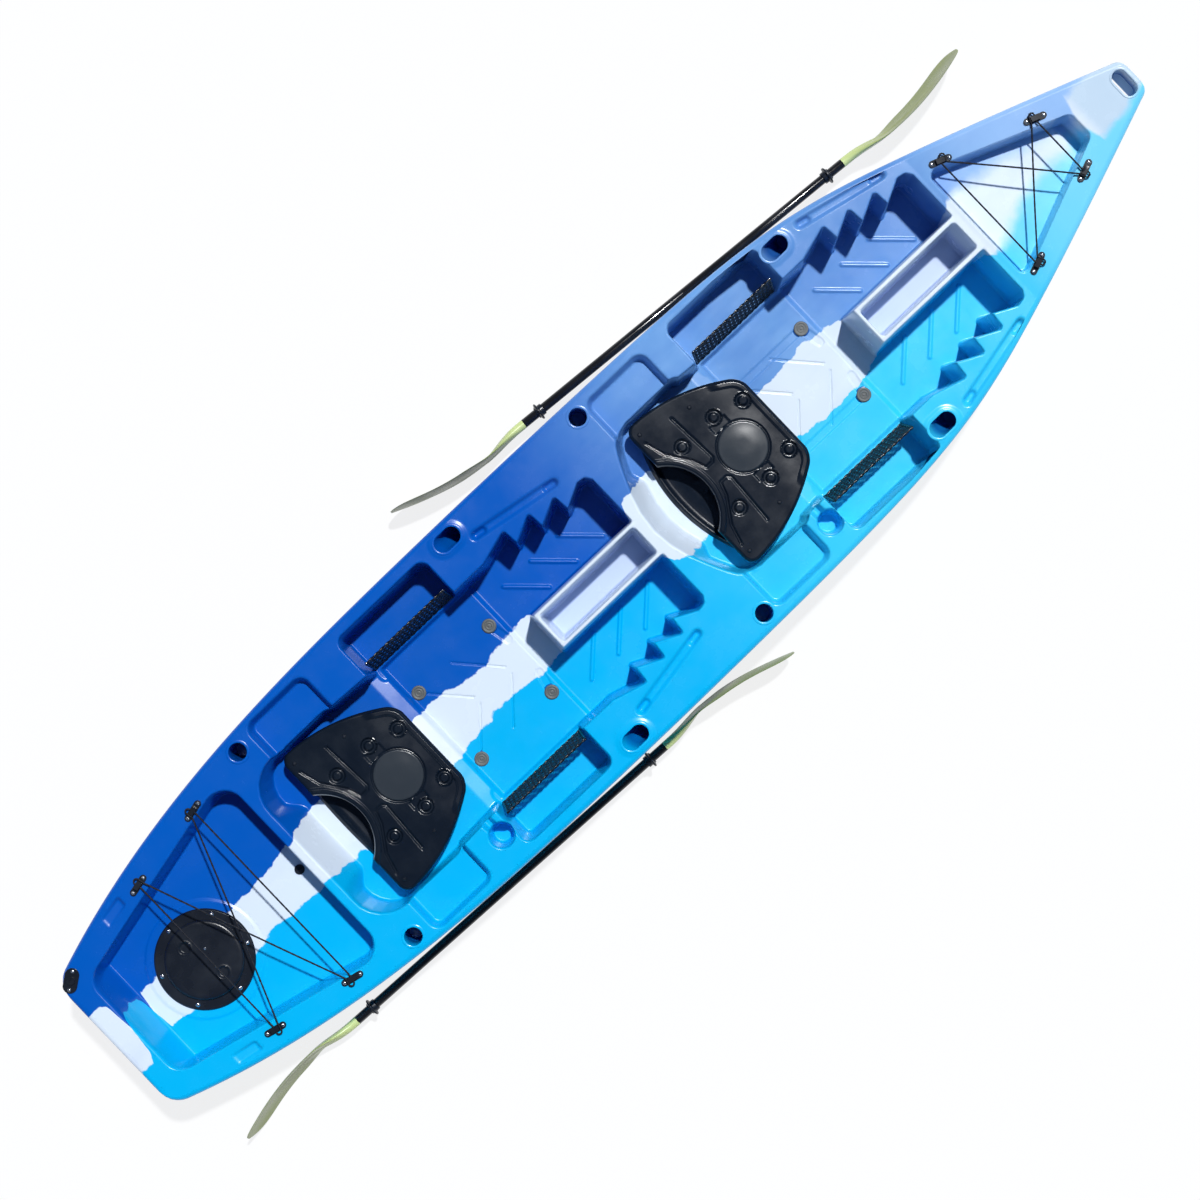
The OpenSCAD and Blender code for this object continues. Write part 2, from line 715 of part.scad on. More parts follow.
module backrest(seat) {
  under = 14;
  top = under + back_thick;
  color(black) translate([seat, 0, seat_floor + hinge_height]) {
    difference() {
      union() {
        hull() {
          translate([0, 0, under]) linear_extrude(height = 1) back_plan(3);
          translate([0, 0, under + back_thick*0.45]) linear_extrude(height = 1) back_plan(0);
          translate([0, 0, top - 1]) linear_extrude(height = 1) back_plan(16);
        }
        back_lips(top - 4);
      }
      translate([arc_x, 0, under - 1]) cylinder(r = arc_r, h = back_thick + lip_h + 2);
      translate([0, 0, top - 3]) linear_extrude(height = lip_h + 4) tongue_grooves();
      translate([disc_x, 0, top - 3]) difference() {
        cylinder(r = disc_r + 3, h = 4);
        translate([0, 0, -1]) cylinder(r = disc_r, h = 6);
      }
      both() for (p = boss_places) translate([p[0], p[1], top - 7]) difference() {
        cylinder(r = boss_r + 7, h = 8);
        translate([0, 0, -1]) cylinder(r = boss_r, h = 10);
      }
      // channels from the disc out past the middle bosses
      both() translate([disc_x - 34, disc_r + 5, top - 4]) cube([56, 26, 6]);
    }
    // hinge lugs
    both() translate([0, knuckle_y, 0]) rotate([90, 0, 0]) difference() {
      union() {
        cylinder(r = pin_r + 5, h = lug_w, center = true);
        translate([-pin_r - 5, 0, -lug_w/2]) cube([2*pin_r + 10, under + 3, lug_w]);
      }
      cylinder(r = pin_r + pin_gap, h = lug_w + 2, center = true);
    }
  }
}

module seat_pan(seat) {
  base = seat_floor + seat_gap;
  rim = sides([[seat - 20, back_half - 74], [seat + back_length - 68, back_top - 12]]);
  foot = sides([[seat - 12, back_half - 90], [seat + back_length - 90, back_top - 24]]);
  color(black) difference() {
    union() {
      difference() {
        basin(rim, foot, 40, 36, base + pan_height - 1, base, 0, 32);
        basin(rim, foot, 40 - pan_wall, 36 - pan_wall, base + pan_height, base + pan_wall, 0, 32);
      }
      // hinge ears
      both() for (i = [-1, 1]) translate([seat, knuckle_y + i*(lug_w/2 + ear_w/2 + 1.5), 0]) {
        translate([-pin_r - 3, -ear_w/2, base + 1])
          cube([2*pin_r + 9, ear_w, seat_floor + hinge_height - base - 1]);
        translate([0, 0, seat_floor + hinge_height]) rotate([90, 0, 0])
          cylinder(r = pin_r + 6, h = ear_w, center = true);
      }
      // raised ridge between the thighs
      translate([seat + 130, 0, base + 1]) cube([180, 46, 2*pan_wall + 10], center = true);
    }
    both() translate([seat, knuckle_y, seat_floor + hinge_height]) rotate([90, 0, 0])
      cylinder(r = pin_r + pin_gap, h = lug_w + 2*ear_w + 20, center = true);
    // notches that let the backrest's tail swing down
    both() translate([seat - 70, back_half - 58, base + 17]) cube([74, 60, pan_height]);
    // nothing of the pan reaches below its base
    translate([seat - back_length, -2*back_half, base - 100]) cube([3*back_length, 4*back_half, 100]);
    // drain holes
    both() translate([seat + 110, 80, base - 1]) cylinder(r = 8, h = 20);
  }
}

module hinge_pins(seat) {
  color(grey) both() translate([seat, knuckle_y, seat_floor + hinge_height]) rotate([90, 0, 0]) {
    cylinder(r = pin_r, h = lug_w + 2*ear_w + 6, center = true);
    translate([0, 0, lug_w/2 + ear_w + 1.5 + seat_gap]) cylinder(r = pin_r + 3, h = 3);
    translate([0, 0, -lug_w/2 - ear_w - 4.5 - seat_gap]) cylinder(r = pin_r + 3, h = 3);
  }
}

// Hatch

gasket_r = mouth_r + 4 + gasket_w;

module hatch_rim() {
  color(black) translate([hatch_at, 0, stern_floor + seat_gap]) rotate_extrude() polygon([
    [mouth_r, -26], [mouth_r + 5, -26], [mouth_r + 5, 0], [rim_r, 0], [rim_r, rim_flange - 4],
    [rim_r - 4, rim_flange], [gasket_r, rim_flange], [gasket_r, rim_flange - gasket_h],
    [mouth_r, rim_flange - gasket_h]]);
}

// A ring on the rim with a skirt that pushes into the mouth.
module hatch_gasket() {
  inner = mouth_r - 5;
  color([0.16, 0.16, 0.17]) translate([hatch_at, 0, stern_floor + seat_gap + rim_flange])
    rotate_extrude() polygon([
      [inner, -skirt_h], [mouth_r - 2, -skirt_h], [mouth_r - 2*seat_gap, -gasket_h],
      [mouth_r - 2*seat_gap, seat_gap - gasket_h], [gasket_r - seat_gap, seat_gap - gasket_h],
      [gasket_r - seat_gap, 0], [inner, 0]]);
}

module hatch_lid() {
  color(black) translate([hatch_at, 0, stern_floor + 2*seat_gap + rim_flange]) difference() {
    cylinder(r = lid_r, h = lid_thick);
    // hollow underside
    translate([0, 0, -1]) cylinder(r = mouth_r - 10, h = lid_thick/2);
    // two finger dimples
    for (i = [-1, 1]) rotate([0, 0, 105]) translate([i*67, 0, lid_thick - 5])
      cylinder(r1 = 13, r2 = 18, h = 6);
    // turned step round the edge
    translate([0, 0, lid_thick - 4]) difference() {
      cylinder(r = lid_r + 2, h = 6);
      translate([0, 0, -1]) cylinder(r = lid_r - 12, h = 8);
    }
  }
}

// Plugs and bungs

module scupper_plug(i) {
  p = scuppers[i - 1];
  z = leg_floor + seat_gap;
  color(grey) translate([p[0], p[1], z]) difference() {
    union() {
      cylinder(r = plug_head_r, h = plug_head_h);
      translate([0, 0, -plug_stem])
        cylinder(r1 = scupper_r - 3, r2 = scupper_r - seat_gap - 0.4, h = plug_stem + 1);
    }
    // screwdriver slot across the head
    translate([0, 0, plug_head_h]) cube([2*plug_head_r - 12, 5, 5], center = true);
    translate([0, 0, -plug_stem - 1]) cylinder(r = scupper_r - 7, h = plug_stem - 4);
  }
}

module well_bung() {
  color(black) translate([stern + stern_well_front - 26 - bung_r, 0, stern_floor + seat_gap]) {
    cylinder(r = bung_r + 3, h = 4);
    translate([0, 0, -20]) cylinder(r = bung_r - seat_gap - 0.4, h = 21);
  }
}

module drain_place() {
  translate([stern + 40, half_at(stern + 40) - 34, deck_height + seat_gap]) rotate([0, 0, 36]) children();
}

module drain_flange() {
  r = drain_w/2;
  color(black) drain_place() difference() {
    union() {
      linear_extrude(height = 4) union() {
        square([drain_l - 2*r, 2*r], center = true);
        for (i = [-1, 1]) translate([i*(drain_l/2 - r), 0]) circle(r = r);
      }
      translate([0, 0, -22]) cylinder(r = r - 9 - seat_gap - 0.4, h = 23);
    }
    translate([0, 0, -23]) cylinder(r = r - 13, h = 40);
  }
}

module drain_plug() {
  r = drain_w/2 - 13;
  color(black) drain_place() difference() {
    union() {
      translate([0, 0, 4 + seat_gap]) cylinder(r = r + 4, h = 5);
      translate([0, 0, -18]) cylinder(r = r - pin_gap, h = 23);
    }
    translate([0, 0, 4 + seat_gap + 5]) cube([2*r, 4, 5], center = true);
  }
}

// Pad eyes and shock cords

bow_slope = atan2(bow_rise, bow - foredeck);
bow_yaw = 21;
stern_yaw = 13;
arch_l = 26;
arch_w = 14;
slot_half = cord_d/2 + 4;

// Each eye as its place, its tilt, its yaw and the side of the boat.
function eye(x, side, tilt, yaw) = [[x, side*(plan_half(x) - eye_inset), deck_at(x)], tilt, side*yaw, side];
bow_eyes = [for (x = [foredeck + 70, bow - 291]) for (s = [1, -1]) eye(x, s, bow_slope, -bow_yaw)];
stern_eyes = [for (d = [123, 385]) for (s = [1, -1]) eye(stern + stern_well_front - d, s, 0, stern_yaw)];

module pad_eye(e) {
  r = cord_d/2 + 1;
  color(black) translate(e[0]) rotate([0, -e[1], 0]) rotate([0, 0, e[2]]) translate([0, 0, seat_gap])
  difference() {
    union() {
      linear_extrude(height = eye_base) union() {
        square([eye_l - eye_w, eye_w], center = true);
        for (i = [-1, 1]) translate([i*(eye_l - eye_w)/2, 0]) circle(d = eye_w);
      }
      translate([-arch_l/2, -arch_w/2, eye_base - 0.5]) cube([arch_l, arch_w, cord_height + 6 - eye_base]);
    }
    translate([0, 0, cord_height]) rotate([90, 0, 0]) {
      for (i = [-1, 1]) translate([i*(slot_half - r), 0, 0]) cylinder(r = r, h = 60, center = true);
      cube([2*(slot_half - r), 2*r, 60], center = true);
    }
  }
}

// A taut cord as one tube through a closed run of points.
function unit(v) = v/norm(v);
module cord_loop(path) {
  n = len(path);
  m = 6;
  rings = [for (i = [0:n - 1]) let (
      a = unit(path[i] - path[(i + n - 1)%n]),
      b = unit(path[(i + 1)%n] - path[i]),
      t = unit(a + b),
      s = unit(cross([0, 0, 1], t)),
      u = cross(t, s))
    [for (k = [0:m - 1]) path[i] + cord_d/2*(s*cos(360*k/m) + u*sin(360*k/m))]];
  polyhedron(
    points = [for (r = rings) each r],
    faces = [for (i = [0:n - 1]) for (j = [0:m - 1]) let (k = (j + 1)%m, q = (i + 1)%n)
      each [[i*m + j, q*m + j, q*m + k], [i*m + j, q*m + k, i*m + k]]]);
}

// A point given in an eye's own frame.
function in_eye(e, p) = let (
    c = cos(e[2]), s = sin(e[2]), x = p[0]*c - p[1]*s, y = p[0]*s + p[1]*c, z = p[2])
  e[0] + [x*cos(e[1]) - z*sin(e[1]), y, x*sin(e[1]) + z*cos(e[1])];
// The cord goes out through the arch, round one of its legs and back beside it.
function turn_round(e, way) = let (
    off = arch_l/2 + cord_d/2 + seat_gap, out = arch_w/2 + 3, z = cord_height + seat_gap)
  [for (q = concat([[0, -out], [0, out]], [for (a = [150:-30:30]) [off/2*(1 + cos(a)), out + off/2*sin(a)]],
      [[off, out], [off, -out]])) in_eye(e, [way*q[0], e[3]*q[1], z])];
function span(a, b, lift, n) = [for (i = [1:n - 1]) let (t = i/n) a*(1 - t) + b*t + [0, 0, lift*4*t*(1 - t)]];
function flip(l) = [for (i = [len(l) - 1:-1:0]) l[i]];
// Two legs across the boat and two crossing legs between a fore pair and an aft pair of eyes.
function loop_path(pf, sf, pa, sa) = let (
    a = turn_round(pf, -1), b = turn_round(sf, -1), c = turn_round(pa, 1), d = turn_round(sa, 1),
    n = len(a) - 1)
  concat(flip(a), b, span(b[n], c[n], 7, 6), flip(c), d, span(d[n], a[n], -7, 6));

module bow_bungee() {
  color(black) cord_loop(loop_path(bow_eyes[2], bow_eyes[3], bow_eyes[0], bow_eyes[1]));
}

module stern_bungee() {
  color(black) cord_loop(loop_path(stern_eyes[0], stern_eyes[1], stern_eyes[2], stern_eyes[3]));
}

// Pocket nets

module pocket_net(aft, side) {
  end = 12;
  run = pocket_length - 2*end;
  pitch_x = (run - net_strand)/net_cols;
  pitch_z = (net_height - net_strand)/net_rows;
  base = pocket_floor + seat_gap + net_thick/2*sin(net_lean);
  color(black) translate([aft + end, side*(pocket_in + 12), base]) mirror([0, side < 0 ? 1 : 0, 0])
    rotate([90 - net_lean, 0, 0]) linear_extrude(height = net_thick, center = true) difference() {
      square([run, net_height]);
      for (i = [0:net_cols - 1]) for (j = [0:net_rows - 1])
        translate([net_strand + i*pitch_x, net_strand + j*pitch_z])
          square([pitch_x - net_strand, pitch_z - net_strand]);
    }
}

// Paddles

blade_rest = blade_w/2;

module paddle_place(port) {
  if (port) translate([port_paddle_x, port_paddle_y, blade_rest]) rotate([0, 0, port_paddle_yaw]) children();
  else translate([stbd_paddle_x, stbd_paddle_y, blade_rest]) rotate([0, 0, stbd_paddle_yaw])
    mirror([0, 1, 0]) children();
}

module shaft_half(fore) {
  bore = shaft_r - shaft_wall;
  color(black) mirror([fore ? 0 : 1, 0, 0]) rotate([0, 90, 0]) difference() {
    union() {
      translate([0, 0, seat_gap/2]) cylinder(r = shaft_r, h = half_shaft - seat_gap/2);
      if (fore) translate([0, 0, -spigot]) cylinder(r = bore - pin_gap, h = spigot + 5);
    }
    translate([0, 0, fore ? -spigot - 1 : -1])
      cylinder(r = fore ? bore - 3 : bore, h = half_shaft + spigot + 2);
    translate([0, 0, half_shaft - 70]) cylinder(r = bore, h = 80);
    if (!fore) translate([0, 0, 30]) rotate([90, 0, 0]) cylinder(r = 4, h = 40);
  }
}

// Half width, half thickness and sideways curve of a blade along its length.
function blade_half(u) = let (w = 14 + (blade_w/2 - 14)*ease(u/0.5))
  u < 0.74 ? w : w*sqrt(max(0.02, 1 - pow((u - 0.74)/0.262, 2)));
function blade_thick(u) = 14 - 11.2*ease(u/0.42);
function blade_curve(u) = blade_sweep*u*u - 21*sin(180*u)*ease(u*3);

module blade(fore, roll) {
  n = 14;
  color(lime) mirror([fore ? 0 : 1, 0, 0]) rotate([roll, 0, 0]) {
    loft([for (i = [0:n]) let (u = i/n, w = blade_half(u), t = blade_thick(u), c = blade_curve(u))
      [for (k = [0:11]) let (a = 30*k)
        [half_shaft + seat_gap + u*blade_length,
          t*cos(a) + c + 10*ease(u*2)*pow(sin(a)*w*2/blade_w, 2), w*sin(a)]]]);
    rotate([0, 90, 0]) translate([0, 0, half_shaft - 60])
      cylinder(r = shaft_r - shaft_wall - pin_gap, h = 61);
  }
}

module drip_ring(fore) {
  r = shaft_r + pin_gap;
  color(black) mirror([fore ? 0 : 1, 0, 0]) translate([half_shaft - ring_back, 0, 0]) rotate([0, 90, 0])
    rotate_extrude() polygon([[r, -16], [shaft_r + 4, -16], [shaft_r + 4, -5], [ring_r, -2], [ring_r, 2],
      [shaft_r + 4, 6], [shaft_r + 4, 9], [r, 9]]);
}

module button() {
  color(grey) translate([-30, 0, 0]) rotate([90, 0, 0]) translate([0, 0, shaft_r - shaft_wall + 0.1])
    cylinder(r = 4 - pin_gap, h = 5);
}

hull_shell();
seat_pan(front_seat);  // front_seat_pan
seat_pan(rear_seat);  // rear_seat_pan
backrest(front_seat);  // front_backrest
backrest(rear_seat);  // rear_backrest
hinge_pins(front_seat);  // front_hinge_pins
hinge_pins(rear_seat);  // rear_hinge_pins
hatch_rim();
hatch_gasket();
hatch_lid();
scupper_plug(1);  // scupper_plug_1
scupper_plug(2);  // scupper_plug_2
scupper_plug(3);  // scupper_plug_3
scupper_plug(4);  // scupper_plug_4
scupper_plug(5);  // scupper_plug_5
scupper_plug(6);  // scupper_plug_6
well_bung();
drain_flange();
drain_plug();
pad_eye(bow_eyes[0]);  // bow_eye_1
pad_eye(bow_eyes[1]);  // bow_eye_2
pad_eye(bow_eyes[2]);  // bow_eye_3
pad_eye(bow_eyes[3]);  // bow_eye_4
pad_eye(stern_eyes[0]);  // stern_eye_1
pad_eye(stern_eyes[1]);  // stern_eye_2
pad_eye(stern_eyes[2]);  // stern_eye_3
pad_eye(stern_eyes[3]);  // stern_eye_4
bow_bungee();
stern_bungee();
pocket_net(front_pocket, 1);  // net_front_port
pocket_net(front_pocket, -1);  // net_front_stbd
pocket_net(rear_pocket, 1);  // net_rear_port
pocket_net(rear_pocket, -1);  // net_rear_stbd
paddle_place(true) shaft_half(false);  // port_shaft_aft
paddle_place(true) shaft_half(true);  // port_shaft_fore
paddle_place(true) blade(false, 0);  // port_blade_aft
paddle_place(true) blade(true, blade_feather);  // port_blade_fore
paddle_place(true) drip_ring(false);  // port_ring_aft
paddle_place(true) drip_ring(true);  // port_ring_fore
paddle_place(true) button();  // port_button
paddle_place(false) shaft_half(false);  // stbd_shaft_aft
paddle_place(false) shaft_half(true);  // stbd_shaft_fore
paddle_place(false) blade(false, blade_feather);  // stbd_blade_aft
paddle_place(false) blade(true, 0);  // stbd_blade_fore
paddle_place(false) drip_ring(false);  // stbd_ring_aft
paddle_place(false) drip_ring(true);  // stbd_ring_fore
paddle_place(false) button();  // stbd_button
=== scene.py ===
# %% [markdown]
# # A tandem sit-on-top kayak
# The boat is a hollow polyethylene moulding for two paddlers, seen from straight above.
# The frame holds its solids. This lesson dresses them: it gives the moulded hull, the
# seats, the fittings and the paddles their rounded forms and finishes, and leaves every
# piece where the frame puts it.

# %% Load the frame
import math
from functools import partial

import bpy
import numpy as np
from mathutils import Matrix, Vector


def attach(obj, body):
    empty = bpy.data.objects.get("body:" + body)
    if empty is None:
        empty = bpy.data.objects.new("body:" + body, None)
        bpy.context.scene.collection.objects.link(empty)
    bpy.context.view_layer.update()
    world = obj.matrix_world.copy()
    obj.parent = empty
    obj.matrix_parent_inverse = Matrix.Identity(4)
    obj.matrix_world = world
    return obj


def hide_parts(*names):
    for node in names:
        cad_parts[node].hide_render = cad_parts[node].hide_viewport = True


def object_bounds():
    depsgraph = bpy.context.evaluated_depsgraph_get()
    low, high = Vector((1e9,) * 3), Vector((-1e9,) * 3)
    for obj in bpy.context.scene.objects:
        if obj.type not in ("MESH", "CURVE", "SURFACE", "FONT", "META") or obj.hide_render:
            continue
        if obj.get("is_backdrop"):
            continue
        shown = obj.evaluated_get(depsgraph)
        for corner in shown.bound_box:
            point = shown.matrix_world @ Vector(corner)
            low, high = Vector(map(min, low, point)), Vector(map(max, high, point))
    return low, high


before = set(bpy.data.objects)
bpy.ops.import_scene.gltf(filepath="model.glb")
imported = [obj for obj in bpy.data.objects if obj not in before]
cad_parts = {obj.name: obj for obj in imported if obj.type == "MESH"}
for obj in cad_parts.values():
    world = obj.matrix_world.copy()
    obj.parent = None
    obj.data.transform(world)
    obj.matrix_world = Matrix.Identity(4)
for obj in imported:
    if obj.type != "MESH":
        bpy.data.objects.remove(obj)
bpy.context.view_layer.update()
scene = bpy.context.scene
MM = 0.001

# %% [markdown]
# ## Camera
# The photograph looks straight down on the boat from about six and a half metres, with
# the bow to the upper right. The camera hangs over a point near midships, turned about
# the vertical so that the boat lies along the diagonal. Lengths are in millimetres where
# no comment says metres, and become metres when a mesh or the camera is made.

# %% Camera
GUNWALE = 330.0                     # height of the side deck
NADIR = (-124.0, -36.0)             # the point under the camera
DISTANCE = 6600.0                   # camera to side deck
FRAME_WIDTH = 3459.7                # width of the picture at the side deck
BOW_ON_PICTURE = (0.7240, 0.6898)   # how far the bow direction goes right and up

camera_data = bpy.data.cameras.new("overhead")
camera_data.sensor_fit = "HORIZONTAL"
camera_data.angle = 2 * math.atan(FRAME_WIDTH / 2 / DISTANCE)
camera_data.clip_end = 100
camera = bpy.data.objects.new("overhead", camera_data)
right_x, up_x = BOW_ON_PICTURE
camera.matrix_world = Matrix((
    (right_x, up_x, 0, NADIR[0] * MM),
    (-up_x, right_x, 0, NADIR[1] * MM),
    (0, 0, 1, (GUNWALE + DISTANCE) * MM),
    (0, 0, 0, 1)))
scene.collection.objects.link(camera)
scene.camera = camera
print("camera angle", round(math.degrees(camera_data.angle), 2), "degrees")

# %% [markdown]
# ## Helpers
# Every new surface is an array of points on a grid of two parameters. These helpers join
# neighbours into faces, close the ends, turn the faces outward, and make the piece: an
# object that rides on a body of the frame and takes one of the finishes.

# %% Number helpers
def ease(t):
    """3t^2 - 2t^3 between 0 and 1, level outside."""
    c = np.clip(t, 0, 1)
    return c * c * (3 - 2 * c)


def circle(count):
    """Angles of a full turn in even steps."""
    return np.linspace(0, 2 * np.pi, count, endpoint=False)


def cos_sin(degrees):
    """The cosine and the sine of an angle."""
    return math.cos(math.radians(degrees)), math.sin(math.radians(degrees))


def turned(points, yaw=0.0, tilt=0.0, origin=(0, 0, 0)):
    """Turn points about the vertical, tilt them bow up, then move them to an origin."""
    (c, s), (ct, st) = cos_sin(yaw), cos_sin(tilt)
    spin = np.array([[c, -s, 0], [s, c, 0], [0, 0, 1]])
    lift = np.array([[ct, 0, -st], [0, 1, 0], [st, 0, ct]])
    return np.asarray(points) @ (lift @ spin).T + np.asarray(origin)


def spaced(path, step, closed=False):
    """The same path with points a fixed step apart."""
    path = np.asarray(path, float)
    if closed:
        path = np.vstack([path, path[:1]])
    run = np.append(0, np.cumsum(np.linalg.norm(np.diff(path, axis=0), axis=1)))
    places = np.linspace(0, run[-1], int(run[-1] / step) + 2)[:-1 if closed else None]
    return np.stack([np.interp(places, run, path[:, k]) for k in range(3)], -1)


# %% Surface helpers
def grid_faces(rows, columns, wrap_rows=False, wrap_columns=False):
    """Quads between neighbours of a grid; a wrapped direction joins its last line to its first."""
    i, j = np.indices((rows - (not wrap_rows), columns - (not wrap_columns)))
    i2, j2 = (i + 1) % rows, (j + 1) % columns
    quads = np.stack([i * columns + j, i2 * columns + j, i2 * columns + j2, i * columns + j2], -1)
    return quads.reshape(-1, 4)


def fan(ring, hub):
    """Triangles from each side of a ring to a hub, all given as point numbers."""
    return np.stack([ring, np.roll(ring, -1), np.full(len(ring), hub)], -1)


def loft(rings, first=None, last=None, closed=False):
    """Points and faces of a stack of rings; first and last are the points that close its ends."""
    rings = np.asarray(rings, float)
    m, n = rings.shape[:2]
    points = rings.reshape(-1, 3)
    faces = grid_faces(m, n, wrap_rows=closed, wrap_columns=True).tolist()
    for pole, row, way in ((first, 0, -1), (last, m - 1, 1)):
        if pole is not None:
            points = np.vstack([points, pole])
            faces += fan(row * n + np.arange(n), len(points) - 1)[:, ::way].tolist()
    return points, faces


def outward(points, faces):
    """Turn a closed surface's faces outward: its volume, summed over triangles, is positive."""
    corners = np.array([f[:3] for f in faces] + [[f[0], f[2], f[3]] for f in faces if len(f) == 4])
    a, b, c = (points[corners[:, k]] for k in range(3))
    if np.einsum("ij,ij->i", a, np.cross(b, c)).sum() < 0:
        faces = [f[::-1] for f in faces]
    return points, faces


def turned_out(points, faces, way, count=None):
    """Turn an open surface so that its first faces, summed by area, look the given way."""
    first = np.array([f[:3] for f in faces[:count]])
    a, b, c = (points[first[:, k]] for k in range(3))
    if np.cross(b - a, c - a).sum(0) @ np.asarray(way, float) < 0:
        faces = [f[::-1] for f in faces]
    return points, faces


def lathe(profile, segments=40):
    """Turn a profile of (radius, height) about the vertical; a radius of zero at an end is a pole."""
    profile = np.asarray(profile, float)
    first = (0, 0, profile[0, 1]) if profile[0, 0] == 0 else None
    last = (0, 0, profile[-1, 1]) if profile[-1, 0] == 0 else None
    body = profile[profile[:, 0] > 0]
    turn = circle(segments)
    radius, height = body[:, :1], body[:, 1:]
    rings = np.stack([radius * np.cos(turn), radius * np.sin(turn), height + 0 * turn], -1)
    return outward(*loft(rings, first, last, closed=first is None))


def tube(path, radius, sides=8, closed=False):
    """Circles along a path, each square to the path's direction there."""
    path = np.asarray(path, float)
    ahead = np.roll(path, -1, 0) - np.roll(path, 1, 0) if closed else np.gradient(path, axis=0)
    ahead /= np.linalg.norm(ahead, axis=1, keepdims=True)
    up = np.where(np.abs(ahead[:, 2:]) > 0.9, [[1.0, 0, 0]], [[0, 0, 1.0]])
    across = np.cross(up, ahead)
    across /= np.linalg.norm(across, axis=1, keepdims=True)
    above = np.cross(ahead, across)
    turn = circle(sides)[None, :, None]
    size = np.broadcast_to(radius, (len(path), sides))[..., None]
    rings = path[:, None] + size * (np.cos(turn) * across[:, None] + np.sin(turn) * above[:, None])
    ends = (None, None) if closed else (path[0], path[-1])
    return outward(*loft(rings, *ends, closed=closed))


def moved(surface, by):
    """The same surface at another place."""
    return surface[0] + np.asarray(by), surface[1]


def join(parts):
    """Several surfaces as one list of points and faces."""
    points, faces, start = [], [], 0
    for part_points, part_faces in parts:
        points.append(part_points)
        faces += (np.asarray(f) + start for f in part_faces)
        start += len(part_points)
    return np.vstack(points), faces


def make_piece(name, surface, finish, replaces=None, body="hull", sharp=40, values=None):
    """A mesh object from points in mm and faces; values are numbers kept at its points."""
    points, faces = surface
    mesh = bpy.data.meshes.new(name)
    mesh.from_pydata((np.asarray(points) * MM).tolist(), [], [[int(k) for k in f] for f in faces])
    mesh.shade_smooth()
    mesh.set_sharp_from_angle(angle=math.radians(sharp))
    mesh.materials.append(bpy.data.materials[finish])
    for label, numbers in (values or {}).items():
        kept = mesh.attributes.new(label, "FLOAT", "POINT")
        kept.data.foreach_set("value", np.asarray(numbers, np.float32))
    piece = bpy.data.objects.new(name, mesh)
    scene.collection.objects.link(piece)
    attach(piece, body)
    if replaces:
        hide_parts(replaces)
    return piece


# %% [markdown]
# ## Finishes
# The hull is coloured in the mould: powder of three colours is laid in side by side, so
# royal blue, white and cyan meet along wandering, crumbly edges. The white band's two
# edges are curves along the boat, pushed about by noise. Towards the bow the powders
# have run together, so the seams there are soft.
# The grain of a moulded skin is shared by several finishes, so it is a node group.

# %% Shader helpers
def feed(tree, node, links):
    """Give a node's inputs what they take: links are pairs of an input and a socket or a value."""
    for where, what in links:
        if isinstance(what, bpy.types.NodeSocket):
            tree.links.new(what, node.inputs[where])
        else:
            node.inputs[where].default_value = what


def add_node(tree, kind, links=(), **settings):
    """A new node with its settings and links."""
    node = tree.nodes.new(kind)
    for key, value in settings.items():
        setattr(node, key, value)
    feed(tree, node, links)
    return node


def maths(tree, operation, *values):
    """A sum, product or other operation on sockets and numbers."""
    return add_node(tree, "ShaderNodeMath", enumerate(values), operation=operation).outputs[0]


def ramp(tree, value, low, high, out_low=0.0, out_high=1.0):
    """Value mapped smoothly from one range to another."""
    names = ("Value", "From Min", "From Max", "To Min", "To Max")
    links = zip(names, (value, low, high, out_low, out_high))
    return add_node(tree, "ShaderNodeMapRange", links, interpolation_type="SMOOTHSTEP").outputs["Result"]


def noise(tree, vector, scale, detail=2.0, roughness=0.5):
    """Smooth random values from 0 to 1 over the surface."""
    links = [("Vector", vector), ("Scale", scale), ("Detail", detail), ("Roughness", roughness)]
    return add_node(tree, "ShaderNodeTexNoise", links).outputs["Fac"]


def mix_colour(tree, factor, a, b):
    """A blend of two colours, each a socket or a tuple of red, green and blue."""
    a, b = ((*c, 1) if isinstance(c, tuple) else c for c in (a, b))
    return add_node(tree, "ShaderNodeMix", [(0, factor), (6, a), (7, b)], data_type="RGBA").outputs[2]


def new_material(name):
    """A material with its node tree, its surface shader and the object's own coordinates."""
    material = bpy.data.materials.new(name)
    material.use_nodes = True
    tree = material.node_tree
    where = tree.nodes.new("ShaderNodeTexCoord").outputs["Object"]
    return material, tree, tree.nodes["Principled BSDF"], where


# %% Grain group
grain = bpy.data.node_groups.new("moulded_grain", "ShaderNodeTree")
for label, kind in (("Vector", "NodeSocketVector"), ("Scale", "NodeSocketFloat")):
    grain.interface.new_socket(label, in_out="INPUT", socket_type=kind)
for label in ("Height", "Cloud"):
    grain.interface.new_socket(label, in_out="OUTPUT", socket_type="NodeSocketFloat")
grain_in, grain_out = grain.nodes.new("NodeGroupInput"), grain.nodes.new("NodeGroupOutput")
vector, scale = grain_in.outputs["Vector"], grain_in.outputs["Scale"]
fine, slow = noise(grain, vector, scale, 3.0), noise(grain, vector, 9.0, 5.0, 0.6)
feed(grain, grain_out, [("Height", fine), ("Cloud", slow)])
BUMP_DEPTH = 0.0005                 # metres


def put_grain(tree, shader, where, scale, rough, spread, strength):
    """Fine bumps on a surface and a slow drift of its roughness; gives back the drift."""
    node = add_node(tree, "ShaderNodeGroup", [("Vector", where), ("Scale", scale)], node_tree=grain)
    height, cloud = node.outputs
    links = [("Strength", strength), ("Distance", BUMP_DEPTH), ("Height", height)]
    bump = add_node(tree, "ShaderNodeBump", links)
    roughness = ramp(tree, cloud, 0.3, 0.7, rough - spread, rough + spread)
    feed(tree, shader, [("Normal", bump.outputs["Normal"]), ("Roughness", roughness)])
    return cloud


